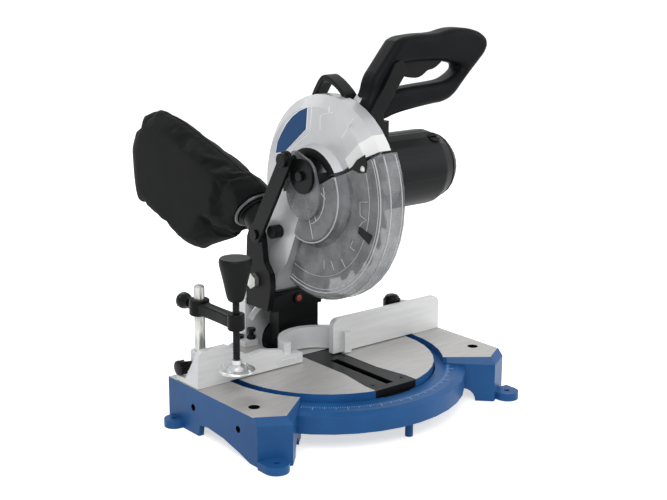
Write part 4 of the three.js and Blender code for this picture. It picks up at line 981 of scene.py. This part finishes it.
def makeMotorCap():
    size = motorSizes
    y, z = motorAxis
    start, end, wide, small = size["capFrom"], size["capTo"], size["endRadius"], size["capSmall"]
    cap = turned("x", [
        (0, start), (wide - 1, start), (wide, start + 1), (wide - 1.4, start + 4), (small + 1, end - 0.8),
        (small - 1, end), (small - 5, end), (small - 6.5, end - 2.6), (0, end - 3),
    ], motorAxis, size["sides"] * 2)
    vents = []
    for row in range(size["vents"]):
        height = size["ventLow"] + row * size["ventGap"]
        half = math.sqrt(size["ventReach"] ** 2 - height ** 2)
        low, high = z + height - size["ventHalf"], z + height + size["ventHalf"]
        vents.append(block((end - size["ventDepth"], y - half, low), (end + 2, y + half, high), 0))
    carve(cap, *vents)
    smooth(cap)
    settle(cap, "MotorEndCap", "head", "blackShell", "motor_end_cap")
    dress("head", "blackMoulding", 0.5, "brush_cap_1", "brush_cap_2")


makeMotor()
print("motor done")


# Handle

handleSizes = {
    "front": -53, "middle": -38, "rear": -23, "round": 8.5, "seam": 0.15,
    "outer": [
        (40, 336), (60, 341.5), (89, 345.5), (115, 348), (136, 349.5), (150, 356), (162, 368), (175, 380.5),
        (188, 392), (200, 403), (204, 415.5), (196, 424.5), (178, 431), (155, 433.5), (139, 432), (126, 429),
        (87, 428.5), (62, 425.5), (56, 419), (37.5, 397.5), (26, 384), (21, 366), (14, 357), (14, 336),
    ],
    "hole": [
        (45, 370), (50, 382), (61, 392.5), (68, 397), (130, 397), (146, 393.5), (156, 391.5), (161, 388),
        (159, 384), (149, 378), (138, 374), (122, 372.5), (100, 371.5), (74, 370),
    ],
    "trigger": [
        (72, 401), (72, 384), (78, 381.5), (88, 379.5), (98, 379), (106, 382), (112, 386.5), (121, 387.5),
        (130, 392), (135, 396), (135, 401),
    ],
    "triggerHalf": 6, "pocketLow": (69, 394), "pocketHigh": (138, 411), "slack": 0.6,
    "button": (80, 418), "buttonRadius": 5.3,
    "stem": [(10, 330), (10, 357), (21.6, 364.9), (36.4, 364.9), (40.4, 345), (40.4, 330)],
    "from": -20, "to": 240, "low": 300, "high": 470, "spare": 5,
}


def softened(points, amount):
    # each corner becomes two points, so a smooth curve keeps near the drawing
    result = []
    for i, corner in enumerate(points):
        before = Vector(points[i - 1])
        after = Vector(points[(i + 1) % len(points)])
        here = Vector(corner)
        for other in (before, after):
            way = other - here
            result.append(tuple(here + way * min(amount / way.length, 0.4)))
    return result


def makeHandle():
    size = handleSizes
    front, middle, rear = size["front"], size["middle"], size["rear"]
    loops = [softened(size["outer"], 5), softened(size["hole"], 4)]
    whole = cutOut("y", front, rear, loops, size["round"], soft=True, steps=5)
    reach = size["triggerHalf"] + size["slack"]
    (x, z), (farX, farZ) = size["pocketLow"], size["pocketHigh"]
    pocket = block((x, middle - reach, z), (farX, middle + reach, farZ), 0)
    radius, behind = size["buttonRadius"], rear + size["spare"]
    button = turned("y", [(0, middle), (radius, middle), (radius, behind), (0, behind)], size["button"], 32)
    stem = cutOut("y", middle, behind, [size["stem"]], 0.1)
    carve(whole, pocket, button, stem)
    for name, node in (("HandleFront", "handle_front"), ("HandleRear", "handle_rear")):
        half = addObject(name, whole.data.copy())
        low, high = front - size["spare"], middle + size["seam"]
        if node == "handle_front":
            low, high = middle - size["seam"], behind
        carve(half, block((size["from"], low, size["low"]), (size["to"], high, size["high"]), 0))
        roundEdges(half, 0.5, 1, 50)
        smooth(half, 40)
        settle(half, name, "head", "handleShell", node)
    bpy.data.objects.remove(whole)
    low, high = middle - size["triggerHalf"], middle + size["triggerHalf"]
    trigger = cutOut("y", low, high, [softened(size["trigger"], 2.5)], 2.0, soft=True, steps=3)
    settle(trigger, "Trigger", "trigger", "blackMoulding", "trigger")


bailSizes = {
    "from": 7.4, "to": 25.4, "edge": 1.4,
    "outer": [
        (50, 336), (44.5, 350), (27.5, 377), (20, 383), (12, 383.5), (-17, 367.5), (-22.4, 361), (-22.4, 336),
    ],
    "inner": [(-16.4, 336), (-16.4, 361), (12.5, 377), (18, 376), (22, 372.5), (38.5, 347.5), (43, 336)],
}


def makeBail():
    size = bailSizes
    outline = softened(size["outer"] + size["inner"], 3)
    strap = cutOut("x", size["from"], size["to"], [outline], size["edge"], soft=True, steps=3)
    settle(strap, "CarryHandle", "head", "blackShell", "carry_handle")


makeHandle()
makeBail()
print("handle done")


# Lower guard and its link

clearSizes = {
    "start": 152, "end": 292, "face": -33, "side": -20.6, "lineRadius": 0.6, "markRadius": 0.4,
    "arcs": [(35, 160, 250), (24.5, 200, 262)],
    "spokes": [((-2, 246), (-15, 204)), ((-24, 262), (-37, 254)), ((-16, 236), (-20, 226))],
    # radius of the rim, its place along x, its thickness and its steps
    "rims": [
        (56.6, -31, 0.9, 30), (116, -20.8, 0.9, 40), (124.3, -14, 0.9, 40), (124.7, 2, 0.7, 40),
        (112, -20.7, 0.5, 40), (97, -20.7, 0.35, 40),
    ],
    "window": [(-80.9, 228.9), (-78.7, 221.3), (-97.6, 211.6), (-103.2, 222.9)],
    "catch": [(-66, 291), (-76, 302), (-89.3, 309.6), (-93, 298), (-91, 290), (-80, 288)],
    "screwPlace": (-86.5, 293.5), "screw": [(0, -3), (2, -2.8), (3.4, -1.6), (3.6, -0.5), (0, -0.5)],
    "marks": [
        [(-94.4, 258.5), (-81.6, 256.4), (-81.8, 241.6), (-92.5, 238), (-85.5, 234.4), (-81, 229)],
        [(-70.5, 211.1), (-65.8, 203), (-73.1, 199.6)], [(-50.2, 186.1), (-57.7, 177.2)],
        [(-20, 178), (-20, 168)], [(-32, 180), (-38, 170)],
    ],
}


def makeLowerGuard():
    size = clearSizes
    dress("guard", "clearGuard", 0.8, "lower_guard")
    x, side, line = size["face"] - 0.1, size["side"], size["lineRadius"]
    parts = []
    # the arcs, spokes, rims and marks are pale: painted highlights along the guard's real ribs and rims
    for radius, start, end in size["arcs"]:
        parts.append(rod([(x, y, z) for y, z in ringAround(arbor, radius, start, end, 24)], line))
    for ends in size["spokes"]:
        parts.append(rod([(x, *end) for end in ends], line, soft=False))
    for radius, along, thick, steps in size["rims"]:
        points = ringAround(arbor, radius, size["start"] + 1, size["end"] - 1, steps)
        parts.append(rod([(along, y, z) for y, z in points], thick))
    for mark in size["marks"]:
        parts.append(rod([(side - 0.1, *point) for point in mark], size["markRadius"], soft=False))
    settle(join("lines", *parts), "LowerGuardRibs", "guard", "clearEdgeHighlight")

    # dark window, and the catch with its screw at the guard's upper end
    settle(cutOut("x", side - 0.7, side - 0.1, [size["window"]], 0.2), "GuardWindow", "guard", "blackMoulding")
    settle(cutOut("x", side - 0.9, side - 0.1, [size["catch"]], 0.3), "GuardCatch", "guard", "blackMoulding")
    screw = turned("x", [(radius, side + along) for radius, along in size["screw"]], size["screwPlace"], 24)
    settle(screw, "GuardCatchScrew", "guard", "zincPlate")
    dress("guard", "clearGuard", 0.5, "guard_hub")
    dress("guard", "blackMoulding", 0.8, "guard_cover")
    dress("guard", "blackSteel", 0.5, "cover_bolt")
    dress("guard", "blackMoulding", 1.0, "link_pin", steps=3)
    dress("link", "blackMoulding", 1.2, "guard_link", steps=3)
    dress("tilt", "blackSteel", 0.5, "link_screw")


makeLowerGuard()
print("lower guard done")


# Dust port and bag

bagSizes = {
    "shrink": 1.5, "voxel": 4, "mass": 0.3, "stiffness": 0.4, "pressure": 4.0, "slack": -0.05,
    "quality": 6, "frames": 20, "cap": 6,
    "neck": (140, 206), "neckReach": 38, "seam": 0.9, "stitch": 8,
    "outline": [
        (346, 310), (305, 304), (245, 286), (194, 269), (162, 256), (127, 239), (122.4, 229), (157.6, 183.5),
        (161, 165), (192, 155), (247, 135), (257, 129), (276, 129), (339, 150), (406, 173), (414, 190),
        (413, 222), (419, 249), (401, 283), (382, 303),
    ],
}


def blowUp(bag):
    # cloth with slack in it, blown up a little, so that it creases as sewn cloth does
    size = bagSizes
    start = [vert.co.copy() for vert in bag.data.vertices]
    neck = bag.vertex_groups.new(name="neck")
    held = [
        i for i, spot in enumerate(start)
        if math.hypot(spot.y / unit - size["neck"][0], spot.z / unit - size["neck"][1]) < size["neckReach"]
    ]
    neck.add(held, 1.0, "REPLACE")
    cloth = bag.modifiers.new("Cloth", "CLOTH")
    cloth.settings.quality = size["quality"]
    cloth.settings.mass = size["mass"]
    cloth.settings.bending_stiffness = size["stiffness"]
    cloth.settings.use_pressure = True
    cloth.settings.uniform_pressure_force = size["pressure"]
    cloth.settings.shrink_min = size["slack"]
    cloth.settings.vertex_group_mass = "neck"
    cloth.settings.effector_weights.gravity = 0
    cloth.point_cache.frame_end = size["frames"]
    for number in range(1, size["frames"] + 1):
        bpy.context.scene.frame_set(number)
    blown = bag.evaluated_get(bpy.context.evaluated_depsgraph_get()).to_mesh()
    cap = size["cap"] * unit
    for vert, before, after in zip(bag.data.vertices, start, [vert.co.copy() for vert in blown.vertices]):
        moved = after - before
        if moved.length > cap:
            moved = moved.normalized() * cap
        vert.co = before + moved
    bag.modifiers.remove(cloth)
    bpy.context.scene.frame_set(1)


def makeBag():
    size = bagSizes
    bag = solidCopy("dust_bag", 0)
    useModifier(bag, "REMESH", mode="VOXEL", voxel_size=size["voxel"] * unit)
    useModifier(bag, "DISPLACE", strength=-size["shrink"] * unit, mid_level=0)
    blowUp(bag)
    useModifier(bag, "SUBSURF", levels=1, render_levels=1)
    smooth(bag, 80)

    # piped seam round the edge where the two side panels meet
    seam = []
    corners = size["outline"]
    for i, corner in enumerate(corners):
        after = corners[(i + 1) % len(corners)]
        count = max(1, int((Vector(after) - Vector(corner)).length / size["stitch"]))
        for step in range(count):
            y, z = (corner[axis] + (after[axis] - corner[axis]) * step / count for axis in (0, 1))
            found, spot, normal, face = bag.closest_point_on_mesh(Vector((0, y, z)) * unit)
            seam.append([value / unit for value in spot])
    settle(rod(seam, size["seam"], closed=True, sides=4), "BagSeam", "bag", "bagCloth")
    settle(bag, "DustBag", "bag", "bagCloth", "dust_bag")


def makeDust():
    dress("head", "blackMoulding", 0.8, "dust_port")
    dress("bag", "dullWire", 0, "bag_clip")
    makeBag()


makeDust()
print("dust bag done")


# Floor, backdrop, light and camera

def whiteForCamera(finish, plain, glow):
    # white where the camera, a reflection or glass looks at it; the shadow stays
    tree = finish.node_tree
    out = [node for node in tree.nodes if node.type in ("OUTPUT_MATERIAL", "OUTPUT_WORLD")][0]
    path = addNode(finish, "ShaderNodeLightPath")
    seen = larger(finish, path.outputs["Is Camera Ray"], path.outputs["Is Glossy Ray"])
    seen = larger(finish, seen, path.outputs["Is Transmission Ray"])
    mix = addNode(finish, "ShaderNodeMixShader")
    link(finish, seen, mix.inputs["Fac"])
    link(finish, plain, mix.inputs[1])
    link(finish, glow, mix.inputs[2])
    link(finish, mix.outputs["Shader"], out.inputs["Surface"])


floorSizes = {"width": 60, "drop": 0.0005, "paper": 0.85, "glow": 0.62, "sky": 0.5}  # width and drop in metres
deselectAll()
bpy.ops.mesh.primitive_plane_add(size=floorSizes["width"], location=(0, 0, -floorSizes["drop"]))
floor = bpy.context.object
floor.name = "Floor"
paper = bpy.data.materials.new("whitePaper")
paper.use_nodes = True
paper.node_tree.nodes.remove(paper.node_tree.nodes["Principled BSDF"])
plainPaper = addNode(paper, "ShaderNodeBsdfDiffuse", Color=[floorSizes["paper"]] * 3 + [1])
glowPaper = addNode(paper, "ShaderNodeEmission", Color=(1, 1, 1, 1), Strength=floorSizes["glow"])
brightPaper = addNode(paper, "ShaderNodeAddShader")
link(paper, plainPaper.outputs["BSDF"], brightPaper.inputs[0])
link(paper, glowPaper.outputs["Emission"], brightPaper.inputs[1])
whiteForCamera(paper, plainPaper.outputs["BSDF"], brightPaper.outputs["Shader"])
floor.data.materials.append(paper)

world = bpy.data.worlds.new("studio")
world.use_nodes = True
bpy.context.scene.world = world
world.node_tree.nodes.remove(world.node_tree.nodes["Background"])
softSky = addNode(world, "ShaderNodeBackground", Color=(1, 1, 1, 1), Strength=floorSizes["sky"])
whiteSky = addNode(world, "ShaderNodeBackground", Color=(1, 1, 1, 1), Strength=1.0)
whiteForCamera(world, softSky.outputs["Background"], whiteSky.outputs["Background"])

lamps = {
    "keySoftbox": {"place": (-1.1, -1.3, 1.7), "size": 1.2, "power": 26},
    "fillSoftbox": {"place": (1.6, -1.2, 1.0), "size": 1.4, "power": 10},
    "rearSoftbox": {"place": (0.4, 1.6, 1.6), "size": 1.2, "power": 14},
}
for name, lamp in lamps.items():
    data = bpy.data.lights.new(name, "AREA")
    data.energy = lamp["power"]
    data.size = lamp["size"]
    light = addObject(name, data)
    light.location = lamp["place"]
    aim = Vector((0, 0, 0.2)) - light.location
    light.rotation_euler = aim.to_track_quat("-Z", "Y").to_euler()

cameraSizes = {
    "place": (-919.12, -1129.80, 553.93), "lens": 70.137, "sensor": 36,
    "right": (0.773528, -0.633734, 0.005999), "up": (0.151908, 0.19459, 0.96905),
    "forward": (0.615288, 0.748676, -0.24679),
}
cameraData = bpy.data.cameras.new("photoCamera")
cameraData.lens = cameraSizes["lens"]
cameraData.sensor_width = cameraSizes["sensor"]
cameraData.sensor_fit = "HORIZONTAL"
cameraData.clip_end = 80
camera = addObject("photoCamera", cameraData)
backward = [-value for value in cameraSizes["forward"]]
turn = Matrix((cameraSizes["right"], cameraSizes["up"], backward)).transposed()
camera.matrix_world = Matrix.Translation(Vector(cameraSizes["place"]) * unit) @ turn.to_4x4()
bpy.context.scene.camera = camera
bpy.context.scene.view_settings.view_transform = "Standard"
print("studio ready")
